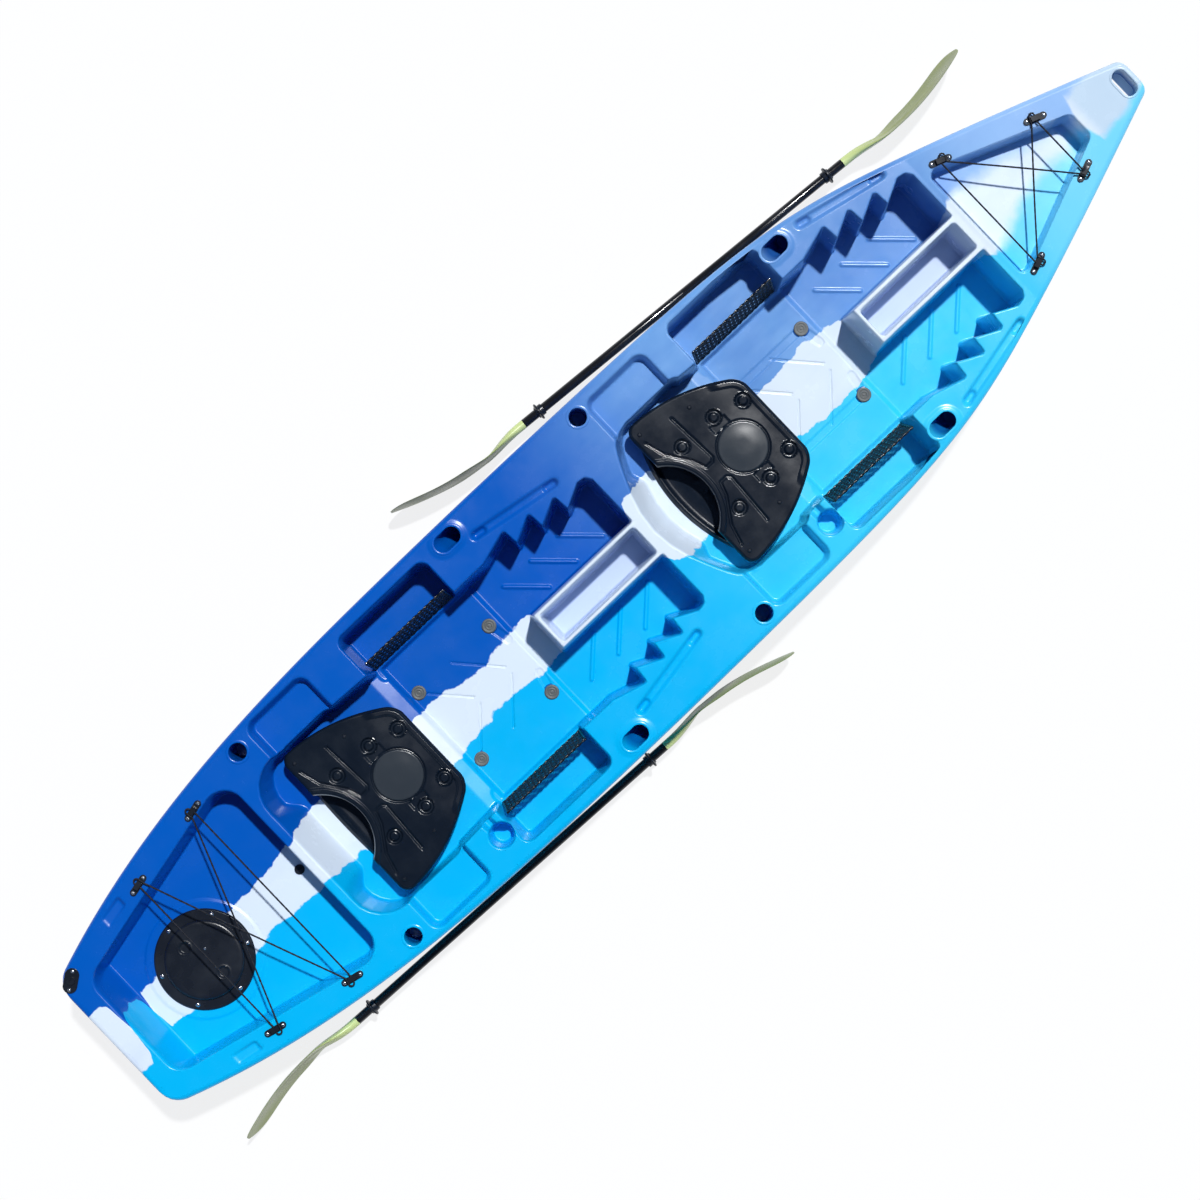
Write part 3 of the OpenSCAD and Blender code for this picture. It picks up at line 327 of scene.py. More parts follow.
# %% Hull seams
LENGTH = 4050.0
# the white band: distance along the boat, then its edges out to port and to starboard
BAND = ((-2025, 105, 125), (-1964, 100, 115), (-1950, 0, 0), (-1912, 0, 0), (-1898, 60, 76),
        (-1700, 65, 85), (-1280, 70, 85), (-1180, 100, 100), (-740, 95, 85), (-560, 68, 66),
        (-312, 80, 78), (-300, 70, 70), (92, 70, 70), (112, 118, 104), (200, 132, 120),
        (320, 100, 100), (560, 95, 90), (780, 95, 98), (962, 80, 78), (975, 70, 70), (1366, 70, 70),
        (1387, 112, 96), (1500, 100, 64), (1700, 62, 34), (1776, 44, 40), (1790, 0, 0), (1814, 0, 0),
        (1828, 84, 72), (1950, 80, 58), (2025, 60, 30))
BAND_REACH = 200.0
# reaches of the two consoles and of the stern well's aft wall; the shader works in metres
CONSOLES, CONSOLE_FADE = ((-0.306, 0.1), (0.969, 1.375)), 0.006
AFT_WALL = (-1.965, -1.95, -1.912, -1.895)

SKIN = "marbled_polyethylene"
_, tree, shader, where = new_material(SKIN)
calc, fade, blend = partial(maths, tree), partial(ramp, tree), partial(mix_colour, tree)
split = add_node(tree, "ShaderNodeSeparateXYZ", [(0, where)])
along, across, above = split.outputs
along_share = calc("MULTIPLY_ADD", along, 1 / (LENGTH * MM), 0.5)


def band_edge(column):
    """One edge of the band as a curve along the boat, in metres."""
    node = add_node(tree, "ShaderNodeFloatCurve", [("Value", along_share)])
    curve = node.mapping.curves[0]
    stations = [(row[0] / LENGTH + 0.5, row[column] / BAND_REACH) for row in BAND]
    curve.points[0].location, curve.points[-1].location = stations[0], stations[-1]
    for place in stations[1:-1]:
        curve.points.new(*place)
    for point in curve.points:
        point.handle_type = "AUTO_CLAMPED"
    node.mapping.update()
    return calc("MULTIPLY", node.outputs[0], BAND_REACH * MM)


def stretch(aft, full_aft, full_fore, fore):
    """1 over a stretch of the boat's length, easing to 0 at its ends."""
    return calc("MULTIPLY", fade(along, aft, full_aft), fade(along, fore, full_fore))


def beyond(out, column):
    """0 inside an edge of the band and 1 beyond it, over the seam's softness."""
    past = calc("ADD", calc("SUBTRACT", out, band_edge(column)), wander)
    return fade(calc("DIVIDE", past, softness), -1.0, 1.0)


waves = calc("MULTIPLY_ADD", noise(tree, where, 5.0, 2.0), 0.06, -0.03)
crumbs = calc("MULTIPLY_ADD", noise(tree, where, 22.0, 3.0, 0.55), 0.036, -0.018)
reaches = ((aft, aft + CONSOLE_FADE, fore - CONSOLE_FADE, fore) for aft, fore in CONSOLES)
consoles = calc("ADD", *(stretch(*reach) for reach in reaches))
# the seam runs straight along the consoles, and the aft wall has no white
wander = calc("MULTIPLY", calc("ADD", waves, crumbs), calc("MULTIPLY_ADD", consoles, -0.96, 1.0))
wander = calc("MULTIPLY_ADD", stretch(*AFT_WALL), 0.06, wander)
softness = calc("SUBTRACT", fade(along, 1.36, 1.5, 0.0025, 0.035), fade(along, 1.8, 1.83, 0.0, 0.02))
to_port = beyond(across, 1)
to_stbd = beyond(calc("MULTIPLY", across, -1.0), 2)
print("seams:", len(BAND), "stations")

# %% Hull colours
ROYAL, PERIWINKLE = (0.0, 0.098, 0.49), (0.18, 0.40, 0.76)
DEEP_BLUE, SHEEN_BLUE = (0.06, 0.20, 0.56), (0.38, 0.60, 0.96)
CYAN, PALE_CYAN, SHEEN_CYAN = (0.0, 0.46, 0.87), (0.04, 0.61, 0.95), (0.25, 0.73, 1.0)
WHITE, STREAK = (0.72, 0.82, 0.93), (0.62, 0.73, 0.92)
TRAY_SHADE_BLUE, BOW_GREY = (0.50, 0.60, 0.84), (0.54, 0.69, 0.83)

# the blue and the cyan pale towards the bow, which is painted sky reflection, and each colour has slow
# streaks where the powder flowed
drawn_out = add_node(tree, "ShaderNodeVectorMath", [(0, where), (1, (0.35, 1.0, 1.0))], operation="MULTIPLY")
flow = noise(tree, drawn_out.outputs[0], 6.0, 4.0, 0.55)
pale = calc("MULTIPLY", fade(along, -0.15, 0.6), fade(flow, 0.25, 0.65, 0.6, 1.0))
# painted sheen: nearest the bow the blue and the cyan pale further, a painted reflection of the sky
bow_sheen = fade(along, 1.3, 1.65, 0.0, 0.65)
# a darker blue from about 0.8 m to 1.5 m forward: partly the hull's own tone, partly painted shade over the
# front foot well and foredeck
tone_and_shade = calc("MULTIPLY", stretch(0.8, 1.0, 1.3, 1.5), 0.5)
blue = blend(bow_sheen, blend(tone_and_shade, blend(pale, ROYAL, PERIWINKLE), DEEP_BLUE), SHEEN_BLUE)
cyan = blend(bow_sheen, blend(pale, CYAN, PALE_CYAN), SHEEN_CYAN)
# painted shade: the floors and low walls of the console trays are darkened to a greyish blue
tray_painted_shade = calc("MULTIPLY", consoles, fade(above, 0.26, 0.18, 0.0, 0.85))
white = blend(tray_painted_shade, blend(fade(flow, 0.5, 0.85), WHITE, STREAK), TRAY_SHADE_BLUE)
white = blend(fade(along, 1.82, 1.86), white, BOW_GREY)
hull_colour = blend(to_stbd, blend(to_port, white, blue), cyan)
put_grain(tree, shader, where, scale=900.0, rough=0.24, spread=0.05, strength=0.04)
feed(tree, shader, [("Base Color", hull_colour), ("Specular IOR Level", 0.3)])

# %% Other finishes
SEAT, FITTING, SCREW, CORD = "black_seat_plastic", "black_fitting", "bright_screw", "shock_cord_cover"
RUBBER, PLUG, NET, TUBE, BLADE = "rubber", "grey_plug", "net_twine", "black_gloss_tube", "olive_blade"
# colour, dusty colour, grains to the metre, roughness and its spread, bump strength, metallic, gloss
FINISHES = {
    # the seat's black is tinted blue: painted sky reflection
    SEAT: ((0.004, 0.008, 0.016), (0.006, 0.011, 0.020), 520, 0.21, 0.04, 0.05, 0, 0.42),
    FITTING: ((0.008, 0.011, 0.018), (0.013, 0.017, 0.025), 800, 0.28, 0.05, 0.05, 0, 0.35),
    RUBBER: ((0.02, 0.02, 0.021), (0.05, 0.05, 0.05), 900, 0.7, 0.08, 0.2),
    PLUG: ((0.105, 0.115, 0.115), (0.17, 0.18, 0.175), 500, 0.5, 0.08, 0.15),
    SCREW: ((0.72, 0.74, 0.76), (0.55, 0.56, 0.58), 900, 0.22, 0.06, 0.05, 1),
    CORD: ((0.006, 0.007, 0.012), (0.014, 0.016, 0.024), 1800, 0.6, 0.08, 0.3, 0, 0.3),
    NET: ((0.004, 0.005, 0.009), (0.010, 0.012, 0.018), 1600, 0.3, 0.08, 0.1),
    TUBE: ((0.008, 0.008, 0.009), (0.016, 0.016, 0.018), 300, 0.16, 0.05, 0.02),
    BLADE: ((0.21, 0.26, 0.06), (0.28, 0.33, 0.09), 600, 0.32, 0.08, 0.05)}


def moulded(name, colour, dusty, scale, rough, spread, strength, metallic=0, gloss=0.5):
    """A plain finish: its colour drifts towards a dusty one, with grain on top."""
    _, tree, shader, where = new_material(name)
    cloud = put_grain(tree, shader, where, scale, rough, spread, strength)
    shade = mix_colour(tree, ramp(tree, cloud, 0.4, 0.75), colour, dusty)
    feed(tree, shader, [("Base Color", shade), ("Metallic", metallic), ("Specular IOR Level", gloss)])


def lift_by(name, label, none, full, colour):
    """Blend a finish towards a colour as a value kept at the piece's points goes from none to full."""
    tree = bpy.data.materials[name].node_tree
    socket = tree.nodes["Principled BSDF"].inputs["Base Color"]
    value = add_node(tree, "ShaderNodeAttribute", attribute_name=label).outputs["Fac"]
    shade = mix_colour(tree, ramp(tree, value, none, full), socket.links[0].from_socket, colour)
    tree.links.new(shade, socket)


for name, looks in FINISHES.items():
    moulded(name, *looks)
# painted shade: the sleeves' colour darkens towards navy down each hole
lift_by(SKIN, "deep", 0.0, 1.3, (0.0, 0.075, 0.36))             # little light gets down the holes
lift_by(SEAT, "disc", 0.0, 1.0, (0.030, 0.038, 0.048))          # the disc is greyer
lift_by(BLADE, "along_blade", 0.45, 0.0, (0.62, 0.72, 0.30))    # blades are paler at the neck
print("finishes:", len(bpy.data.materials))

# %% [markdown]
# ## The hull
# The moulding is rounded at every edge, because molten powder can't fill a sharp corner.
# Boolean cuts would leave hard rims, so the deck is worked out as a height over the plan:
# each well has a distance to its outline, and a smooth wall joins the deck to its floor
# over a short run. Where wells overlap, the lower one wins. The bottom is a second
# surface, which carries each section from the gunwale round to the keel.

# %% Hull lines
BOW, STERN = LENGTH / 2, -LENGTH / 2
BEAM, WIDEST, TRANSOM, TIP = 894.0, -200.0, 482.0, 112.0
STERN_CORNER, BOW_CORNER, END_ROUND, GUNWALE_R = 46.0, 20.0, 10.0, 17.0
KNEE, SHOULDER, STERN_POWER = WIDEST + 1240.0, 350.0, 3.3
FOREDECK, BOW_RISE, KEEL_RISE, STERN_KEEL = 1388.0, 48.0, 185.0, 70.0
BOW_ROCKER, STERN_ROCKER, TUNNEL = 1150.0, 800.0, 14.0
STEM_RISE, STEM_LENGTH = 158.0, 260.0


def shoulder(x):
    """A bend from level to a slope of one, as a hyperbola about the knee."""
    return ((x - KNEE) + np.sqrt((x - KNEE) ** 2 + SHOULDER ** 2)) / 2


def corner_cut(s, r):
    """How far a quarter circle of radius r draws an edge in, s away from its end."""
    return np.where(s >= r, 0.0, r - np.sqrt(np.maximum(0.0, r * r - (r - s) ** 2)))


def plan_half(x):
    """Half breadth: a power curve to the stern and a rounded shoulder to the bow."""
    to_stern = np.clip((WIDEST - x) / (WIDEST - STERN), 0, 1)
    aft = BEAM / 2 - (BEAM - TRANSOM) / 2 * to_stern ** STERN_POWER
    share = (shoulder(x) - shoulder(WIDEST)) / (shoulder(BOW) - shoulder(WIDEST))
    return np.where(x < WIDEST, aft, BEAM / 2 - (BEAM - TIP) / 2 * share)


def half_at(x):
    """Half breadth with the plan's corners rounded at both ends."""
    return plan_half(x) - corner_cut(x - STERN, STERN_CORNER) - corner_cut(BOW - x, BOW_CORNER)


def inboard(x, inset):
    """Distance out from the middle of a point that lies an inset in from the plan's edge."""
    return float(plan_half(np.array(x))) - inset


def deck_at(x):
    """Height of the side deck, which rises along the foredeck."""
    return GUNWALE + BOW_RISE * np.maximum(0, (x - FOREDECK) / (BOW - FOREDECK))


def keel_at(x):
    """Bottom centre line: level amidships, rising by powers of the distance to both ends and the stem."""
    bow_part = KEEL_RISE * np.clip((x - BOW + BOW_ROCKER) / BOW_ROCKER, 0, 1) ** 2.2
    stem = STEM_RISE * np.clip((x - BOW + STEM_LENGTH) / STEM_LENGTH, 0, 1) ** 1.2
    return bow_part + stem + STERN_KEEL * np.clip((STERN + STERN_ROCKER - x) / STERN_ROCKER, 0, 1) ** 2


def channel_at(x):
    """Depth of the two channels in the bottom, which die out towards both ends."""
    return TUNNEL * ease((x - STERN - 100) / 600) * ease((BOW - BOW_ROCKER + 500 - x) / 500)


# %% Distances to outlines
def along_edge(x, y, a, b):
    """Way from the nearest point of a straight line, as its two parts."""
    ex, ey = b[0] - a[0], b[1] - a[1]
    t = np.clip(((x - a[0]) * ex + (y - a[1]) * ey) / (ex * ex + ey * ey), 0, 1)
    return x - a[0] - t * ex, y - a[1] - t * ey


def within(x, y, place, radius):
    """True within a radius of a place."""
    return np.hypot(x - place[0], y - place[1]) < radius


def to_segment(x, y, a, b):
    """Distance to a straight line between two points."""
    return np.hypot(*along_edge(x, y, a, b))


def to_polygon(x, y, corners):
    """Signed distance to a closed outline, negative inside."""
    corners = np.asarray(corners, float)
    near = np.full(x.shape, 1e12)
    inside = np.zeros(x.shape, bool)
    for a, b in zip(corners, np.roll(corners, -1, axis=0)):
        dx, dy = along_edge(x, y, a, b)
        near = np.minimum(near, dx ** 2 + dy ** 2)
        if a[1] != b[1]:
            crossing = a[0] + (y - a[1]) * (b[0] - a[0]) / (b[1] - a[1])
            inside ^= ((a[1] > y) != (b[1] > y)) & (x < crossing)
    return np.sqrt(near) * np.where(inside, -1.0, 1.0)


def to_box(x, y, ends, sides, r):
    """Signed distance to a box with rounded corners."""
    aft, fore, inner, outer = ends[0] + r, ends[1] - r, sides[0] + r, sides[1] - r
    return to_polygon(x, y, [(aft, outer), (fore, outer), (fore, inner), (aft, inner)]) - r


def mirrored(side):
    """A closed outline from the points of its port side, stern to bow."""
    return list(side) + [(px, -py) for px, py in reversed(side)]


# %% Places of the wells
SEATS, PLATFORMS = (-1096.0, 290.0), (-728.0, 575.0)
STEPS, BULKHEADS = (-387.0, 889.0), (95.0, 1370.0)
# aft rims of the seat wells: distance out from the middle, then from the hinge of the rear and the front seat
RIMS = np.array([
    (1, -142, -163), (60, -142, -157), (119, -141, -141), (170, -140, -117), (200, -138, -104),
    (228, -128, -90), (253, -110, -75), (270, -88, -55), (281, -62, -28), (284, -40, 0)], float)
SEAT_FLOOR, LEG_FLOOR, TOE_FLOOR, STERN_FLOOR = 185.0, 150.0, 138.0, 206.0
# from a leg floor up to the seat: distance aft of the ramp's foot, then rise
RAMP = ((0, 10, 56), (0, 25, 35))
LEG_HALF, SEAT_HALF, POCKET_OUT, TOE_RUN = 266.0, 284.0, 401.0, 14.0
CONSOLE_LENGTH, CONSOLE_HALF, CONSOLE_RAIL, CONSOLE_FLOOR = 395.0, 68.0, 21.0, 152.0
POCKETS, POCKET_LENGTH, POCKET_FLOOR = (-758.0, 551.0), 340.0, 172.0
TRAYS, TRAY_LENGTH, TRAY_DEPTH = (-1122.0, 229.0), 226.0, 44.0
CUP_Y, CUP_R, CUP_DEPTH, CUP_SLOT_DEPTH = -332.0, 35.0, 90.0, 30.0
HOLDER_R, HOLDER_INSET, SLOT_HALF = 26.5, 53.0, 16.0
ROUND_HOLDERS, SLANT_HOLDERS = (-1183.0, 193.0), (-323.0, 940.0)
HATCH, HATCH_SEAT = (-1691.0, 0.0), 178.0
SCUPPER_Y = 135.0
SCUPPERS = [(x, s * SCUPPER_Y) for x in (861.0, -415.0, -702.0) for s in (1, -1)]
TRACKS, TRACK_LENGTH = ((-256.0, 347.0, -9.9), (1040.0, 352.0, -12.5)), 272.0
TRACK_HALF, TRACK_DEPTH = 13.5, 9.0
DRAIN = (-1985.0, 221.1)
DIP_X, DIP_INSET, STERN_LIP, STERN_SLOPE = -1760.0, 42.0, -1953.0, 44.0
GRIP_X, GRIP_HALF, GRIP_R = 1985.0, 21.0, 22.0
# port corners of the two end wells, and the radius round them
STERN_WELL, STERN_WELL_R = ((-1891, 136), (-1332, 266)), 62.0
BOW_WELL, BOW_WELL_R, BOW_WELL_DEPTH = ((1432, 174), (1789, 28)), 24.0, 62.0


def toe_outline(bulkhead, step):
    """The foot well with its saw of foot steps, port side."""
    first = bulkhead - 288
    side = [(step, LEG_HALF), (first - 103, LEG_HALF)]
    for k in range(3):
        tip = (first + 87 * k, 296 - 15 * k)
        side += [tip, (tip[0] + 5, tip[1] - 55)]
    return side + [(bulkhead - 32, 250), (bulkhead - 10, 246), (bulkhead, 230)]


def slot_ends(at):
    """The two centres of a slanted holder's mouth."""
    out = inboard(at, HOLDER_INSET)
    return (at - SLOT_HALF, out), (at + SLOT_HALF, out)


# %% Deck height
def cockpit(well, x, y, top, row, seat, platform, step, bulkhead):
    """Cut the wells of one paddler, stern to bow: seat, legs, feet, and the tray of the console."""
    a = np.abs(y)
    rim_x = seat + np.interp(a, RIMS[:, 0], RIMS[:, row])
    rim = mirrored(list(zip(seat + RIMS[:, row], RIMS[:, 0])) + [(platform - 40, LEG_HALF)])
    # the wall behind the seat slopes over 62 mm in the middle and 24 mm at the sides
    slope_run = 62 - 38 * ease((a - 115) / 60)
    slope = (x - rim_x) * (GUNWALE - SEAT_FLOOR) / slope_run
    well(to_polygon(x, y, rim), np.maximum(SEAT_FLOOR, top - slope), 8.0)
    well(to_box(x, y, (seat - 20, seat + 200), (-SEAT_HALF, SEAT_HALF), 40), SEAT_FLOOR)
    leg = to_box(x, y, (platform - 90, step + 60), (-LEG_HALF, LEG_HALF), 30)
    well(leg, LEG_FLOOR + np.interp(platform - x, *RAMP))
    console = np.maximum(bulkhead - CONSOLE_LENGTH - x, a - CONSOLE_HALF)
    toe = np.maximum(to_polygon(x, y, mirrored(toe_outline(bulkhead, step))), -console)
    step_down = ease((step + TOE_RUN - x) / TOE_RUN)
    well(toe, TOE_FLOOR + (LEG_FLOOR - TOE_FLOOR) * step_down, 7.0)
    inner = CONSOLE_HALF - CONSOLE_RAIL
    tray = (bulkhead - CONSOLE_LENGTH + CONSOLE_RAIL, bulkhead - 8)
    well(to_box(x, y, tray, (-inner, inner), 6), CONSOLE_FLOOR, 7.0)


def track(well, x, a, aft, out, yaw):
    """Cut an accessory track into the side deck: a long groove with a deeper slot at each end."""
    c, s = cos_sin(yaw)
    for near, far, half, deep in ((0, TRACK_LENGTH, TRACK_HALF, 1), (2, 26, TRACK_HALF - 2, 2),
                                  (TRACK_LENGTH - 26, TRACK_LENGTH - 2, TRACK_HALF - 2, 2)):
        ends = ((aft + t * c, out + t * s) for t in (near, far))
        well(to_segment(x, a, *ends) - half, GUNWALE - deep * TRACK_DEPTH, 7.0)


def deck_height(x, y):
    """Height of the deck over the plan: the side deck, lowered by each well, the lowest winning."""
    top = deck_at(x)
    a = np.abs(y)
    # the deck swells a little round the slanted holders
    for at in SLANT_HOLDERS:
        top = top + 2.5 * ease((48 - to_segment(x, a, *slot_ends(at))) / 12)
    z = top.copy()

    def well(distance, floor, run=9.0):
        """Lower the deck inside an outline, by a smooth wall of the given run down to the floor."""
        np.minimum(z, top - (top - floor) * ease((2 - distance) / run), out=z)

    for row, *places in zip((1, 2), SEATS, PLATFORMS, STEPS, BULKHEADS):
        cockpit(well, x, y, top, row, *places)
    for aft, tray in zip(POCKETS, TRAYS):
        # a pocket, a tray with a low sill, and, to starboard only, a drink holder with its slot
        well(to_box(x, a, (aft, aft + POCKET_LENGTH), (215, POCKET_OUT), 25), POCKET_FLOOR)
        end = tray + TRAY_LENGTH
        well(to_box(x, a, (tray, end), (218, POCKET_OUT + 4), 32), GUNWALE - TRAY_DEPTH, 12.0)
        sill = ease((7 - to_segment(x, a, (tray + 34, 279), (end - 18, 279))) / 5)
        z += 5 * sill * (z < GUNWALE - 35)
        well(np.hypot(x - aft + 38, y - CUP_Y) - CUP_R, GUNWALE - CUP_DEPTH, 7.0)
        well(to_segment(x, y, (aft - 48, -240), (aft - 40, CUP_Y)) - 16, GUNWALE - CUP_SLOT_DEPTH)
    for place in TRACKS:
        track(well, x, a, *place)
    # a shallow dip in the side deck, then the stern well, whose aft wall is a slope
    dip = inboard(DIP_X, DIP_INSET)
    aft, fore = DIP_X - 32, DIP_X + 32
    corners = [(aft, dip - 20), (fore, dip - 7), (fore, dip + 14), (aft, dip + 1)]
    well(to_polygon(x, a, corners) - 7, GUNWALE - 2 - 7 * np.clip((x - aft + 8) / 75, 0, 1), 8.0)
    stern = to_polygon(x, y, mirrored(STERN_WELL)) - STERN_WELL_R
    hatch_seat = 3 * ease((HATCH_SEAT - np.hypot(x - HATCH[0], y)) / 5)
    slope = (x - STERN_LIP) * (GUNWALE - STERN_FLOOR) / STERN_SLOPE
    well(stern, np.maximum(STERN_FLOOR + hatch_seat, top - slope), 14.0)
    well(to_polygon(x, y, mirrored(BOW_WELL)) - BOW_WELL_R, GUNWALE - BOW_WELL_DEPTH, 8.0)
    return z


# %% Floor marks
RIB_HALF, RIB_YAW, RIB_RISE = 68, -44, 4.5
CHEVRON, CHANNEL = (1.5, 3.6), (12.0, 2.2)      # half width and depth


def floor_marks(x, a, z):
    """Grip ribs raised on the foot floors; chevrons and drain channels pressed into the leg floors."""
    c, s = (RIB_HALF * part for part in cos_sin(RIB_YAW))
    for middle in (bulkhead - 350 + 110 * k for bulkhead in BULKHEADS for k in range(3)):
        d = to_segment(x, a, (middle - c, 142 - s), (middle + c, 142 + s))
        z = np.where(z < TOE_FLOOR + 6, z + RIB_RISE * ease((8 - d) / 6), z)
    for platform, step, drained in zip(PLATFORMS, STEPS, (False, True)):
        marks = [((start, 133), (start + 106.6, 14), *CHEVRON) for start in (platform + 28, platform + 158)]
        marks.append(((step - 28, SCUPPER_Y), (step - 14, CONSOLE_HALF), *CHANNEL))
        if drained:
            marks.append(((platform + 26, SCUPPER_Y), (step - 28, SCUPPER_Y), *CHANNEL))
        for p, q, half, depth in marks:
            groove = depth * ease((half + 2 - to_segment(x, a, p, q)) / 3.5)
            z = np.where(np.abs(z - LEG_FLOOR) < 8, z - groove, z)
    return z


# %% Deck grid
COLUMNS, STATIONS = 166, 1520
arc = np.radians(np.linspace(0, 90, 8))
stations = np.concatenate([
    STERN + STERN_CORNER * (1 - np.cos(arc)),
    np.linspace(STERN + STERN_CORNER, BOW - BOW_CORNER, STATIONS)[1:-1],
    BOW - BOW_CORNER * (1 - np.sin(arc))])


def blur(z):
    """Average each height with its neighbours, which rounds the edges as the mould does."""
    z = np.pad(z, 1, mode="edge")
    z = (z[:-2] + 2 * z[1:-1] + z[2:]) / 4
    return (z[:, :-2] + 2 * z[:, 1:-1] + z[:, 2:]) / 4


end_cut = corner_cut(stations - STERN, END_ROUND) + corner_cut(BOW - stations, END_ROUND)
half = half_at(stations) - end_cut
rim_half = np.maximum(half - GUNWALE_R, 4)
deck_y = rim_half[:, None] * np.linspace(0, 1, COLUMNS)
deck_x = np.broadcast_to(stations[:, None], deck_y.shape)
deck_z = {}
for side in (1, -1):
    z = blur(blur(deck_height(deck_x, side * deck_y)))
    deck_z[side] = floor_marks(deck_x, deck_y, z) - end_cut[:, None]
    print("deck", z.shape, "heights", round(float(z.min()), 1), "to", round(float(z.max()), 1))

# %% [markdown]
# The deck goes in as eight pieces, so that none grows too heavy. A piece alone would shade
# its border differently from its neighbour, so each gets the normals of the whole deck,
# worked out from the slopes between grid points. Faces over a hole are left out; a lipped
# sleeve covers the ragged edge of each hole later.

# %% Deck pieces
SLEEVE_LAP = 3.0
HATCH_HOLE, DRAIN_HOLE, SCUPPER_HOLE = 107.0, 11.0, 18.0


def in_grip(x, y):
    """True inside the slot of the bow grip."""
    return to_segment(x, np.abs(y), (GRIP_X, 0), (GRIP_X, GRIP_HALF)) < GRIP_R + SLEEVE_LAP


def holes(x, y):
    """True where the deck is cut through or has a sleeve."""
    a = np.abs(y)
    cut = within(x, y, HATCH, HATCH_HOLE) | within(x, y, DRAIN, DRAIN_HOLE) | in_grip(x, y)
    for place in SCUPPERS:
        cut |= within(x, y, place, SCUPPER_HOLE)
    for at in ROUND_HOLDERS:
        cut |= within(x, a, (at, inboard(at, HOLDER_INSET)), HOLDER_R + SLEEVE_LAP)
    for at in SLANT_HOLDERS:
        cut |= to_segment(x, a, *slot_ends(at)) < HOLDER_R + SLEEVE_LAP
    return cut


def deck_side(side):
    """Points of one side of the deck, and normals square to both slopes there."""
    deck = np.stack([deck_x, deck_y, deck_z[side]], -1)
    normal = np.cross(np.gradient(deck, axis=0), np.gradient(deck, axis=1))
    normal[:, 0, 1] = 0
    normal /= np.linalg.norm(normal, axis=2, keepdims=True)
    mirror = np.array([1, side, 1])
    return deck * mirror, normal * mirror


CUTS = [round(share * (len(stations) - 1)) for share in (0, 0.25, 0.5, 0.75, 1)]
for side, side_name in ((1, "port"), (-1, "stbd")):
    deck, deck_normal = deck_side(side)
    for part, first, last in zip(("stern", "rear", "front", "bow"), CUTS, CUTS[1:]):
        points, normals = (grid[first:last + 1].reshape(-1, 3) for grid in (deck, deck_normal))
        faces = grid_faces(last - first + 1, COLUMNS)
        middle = points[faces].mean(1)
        faces = faces[~holes(middle[:, 0], middle[:, 1])]
        surface = turned_out(points, faces.tolist(), (0, 0, 1))
        piece = make_piece(f"deck_{side_name}_{part}", surface, SKIN, "hull_shell", sharp=180)
        piece.data.normals_split_custom_set_from_vertices(normals.tolist())
        print(piece.name, len(piece.data.polygons), "faces")

# %% Hull bottom
# each section in shares of the half breadth b: the gunwale's roll, the side, the bilge, then the flat
SIDE_DRAW, BILGE_END, BILGE_SHARE = 0.045, 0.64, 0.42
STERN_HUB, BOW_HUB, UNDERSIDE = (STERN, 0, 200), (BOW, 0, 352), 300.0
END_ROWS, ROW_STEP = 12, 4          # every station at the ends, and one in four between
FLAT = np.array([0.6, 0.55, 0.51, 0.49, 0.47, 0.45, 0.43, 0.41, 0.37, 0.33, 0.3, 0.27, 0.24, 0.2, 0.16,
                 0.14, 0.125, 0.11, 0.1, 0.08, 0.05, 0.02])[None]
last = len(stations) - END_ROWS
rows = np.concatenate([
    np.arange(END_ROWS), np.arange(END_ROWS, last, ROW_STEP), np.arange(last, len(stations))])
x, cut, b, rim = (values[rows, None] for values in (stations, end_cut, half, rim_half))
low, top = keel_at(x) + cut, deck_at(x) - cut
height = top - low
roll = np.radians(np.linspace(90, 0, 8))[None]
down = np.linspace(0, 1, 9)[None, 1:-1]
bilge = np.radians(np.linspace(90, 0, 12))[None]
tunnel = ease((FLAT - 0.09) / 0.06) * ease((0.5 - FLAT) / 0.08)
lip = np.minimum(GUNWALE_R, 0.4 * height)
side_top, side_low = top - lip, low + BILGE_SHARE * height
half_y = np.hstack([
    rim + (b - rim) * np.cos(roll), b * (1 - SIDE_DRAW * down),
    b * (BILGE_END + (1 - SIDE_DRAW - BILGE_END) * np.sin(bilge)), b * FLAT, 0 * b])
half_z = np.hstack([
    top - lip * (1 - np.sin(roll)), side_top + (side_low - side_top) * down,
    low + BILGE_SHARE * height * (1 - np.cos(bilge)), low + channel_at(x) * tunnel, low])
ring_y = np.hstack([half_y, -half_y[:, -2::-1]])
ring_z = np.hstack([half_z, half_z[:, -2::-1]])
count = ring_y.shape[1]
points = np.stack([np.broadcast_to(x, ring_y.shape), ring_y, ring_z], -1).reshape(-1, 3)
faces = grid_faces(len(rows), count)
middle = points[faces].mean(1)
middle_x, middle_y, middle_z = middle.T
open_face = in_grip(middle_x, middle_y)
for place in SCUPPERS:
    open_face |= within(middle_x, middle_y, place, SCUPPER_HOLE + 1)
faces = faces[~(open_face & (middle_z < UNDERSIDE))].tolist()
ends = [fan(np.arange(count), len(points))[:, ::-1],
        fan(np.arange(count) + (len(rows) - 1) * count, len(points) + 1)]
points = np.vstack([points, STERN_HUB, BOW_HUB])
surface = turned_out(points, faces + np.vstack(ends).tolist(), (0, 0, -1), len(faces))
hull_bottom = make_piece("hull_bottom", surface, SKIN, "hull_shell", sharp=60)
print("hull_bottom", len(hull_bottom.data.polygons), "faces")

# %% [markdown]
# The rod holders, scuppers and the bow grip are deep holes with upright walls, which a
# height over the plan can't give. Each is a sleeve: copies of its outline, from a small
# raised lip on the deck, down the wall, to a floor or to a lip on the bottom.

# %% Sleeves
SLEEVE_SIDES = 56
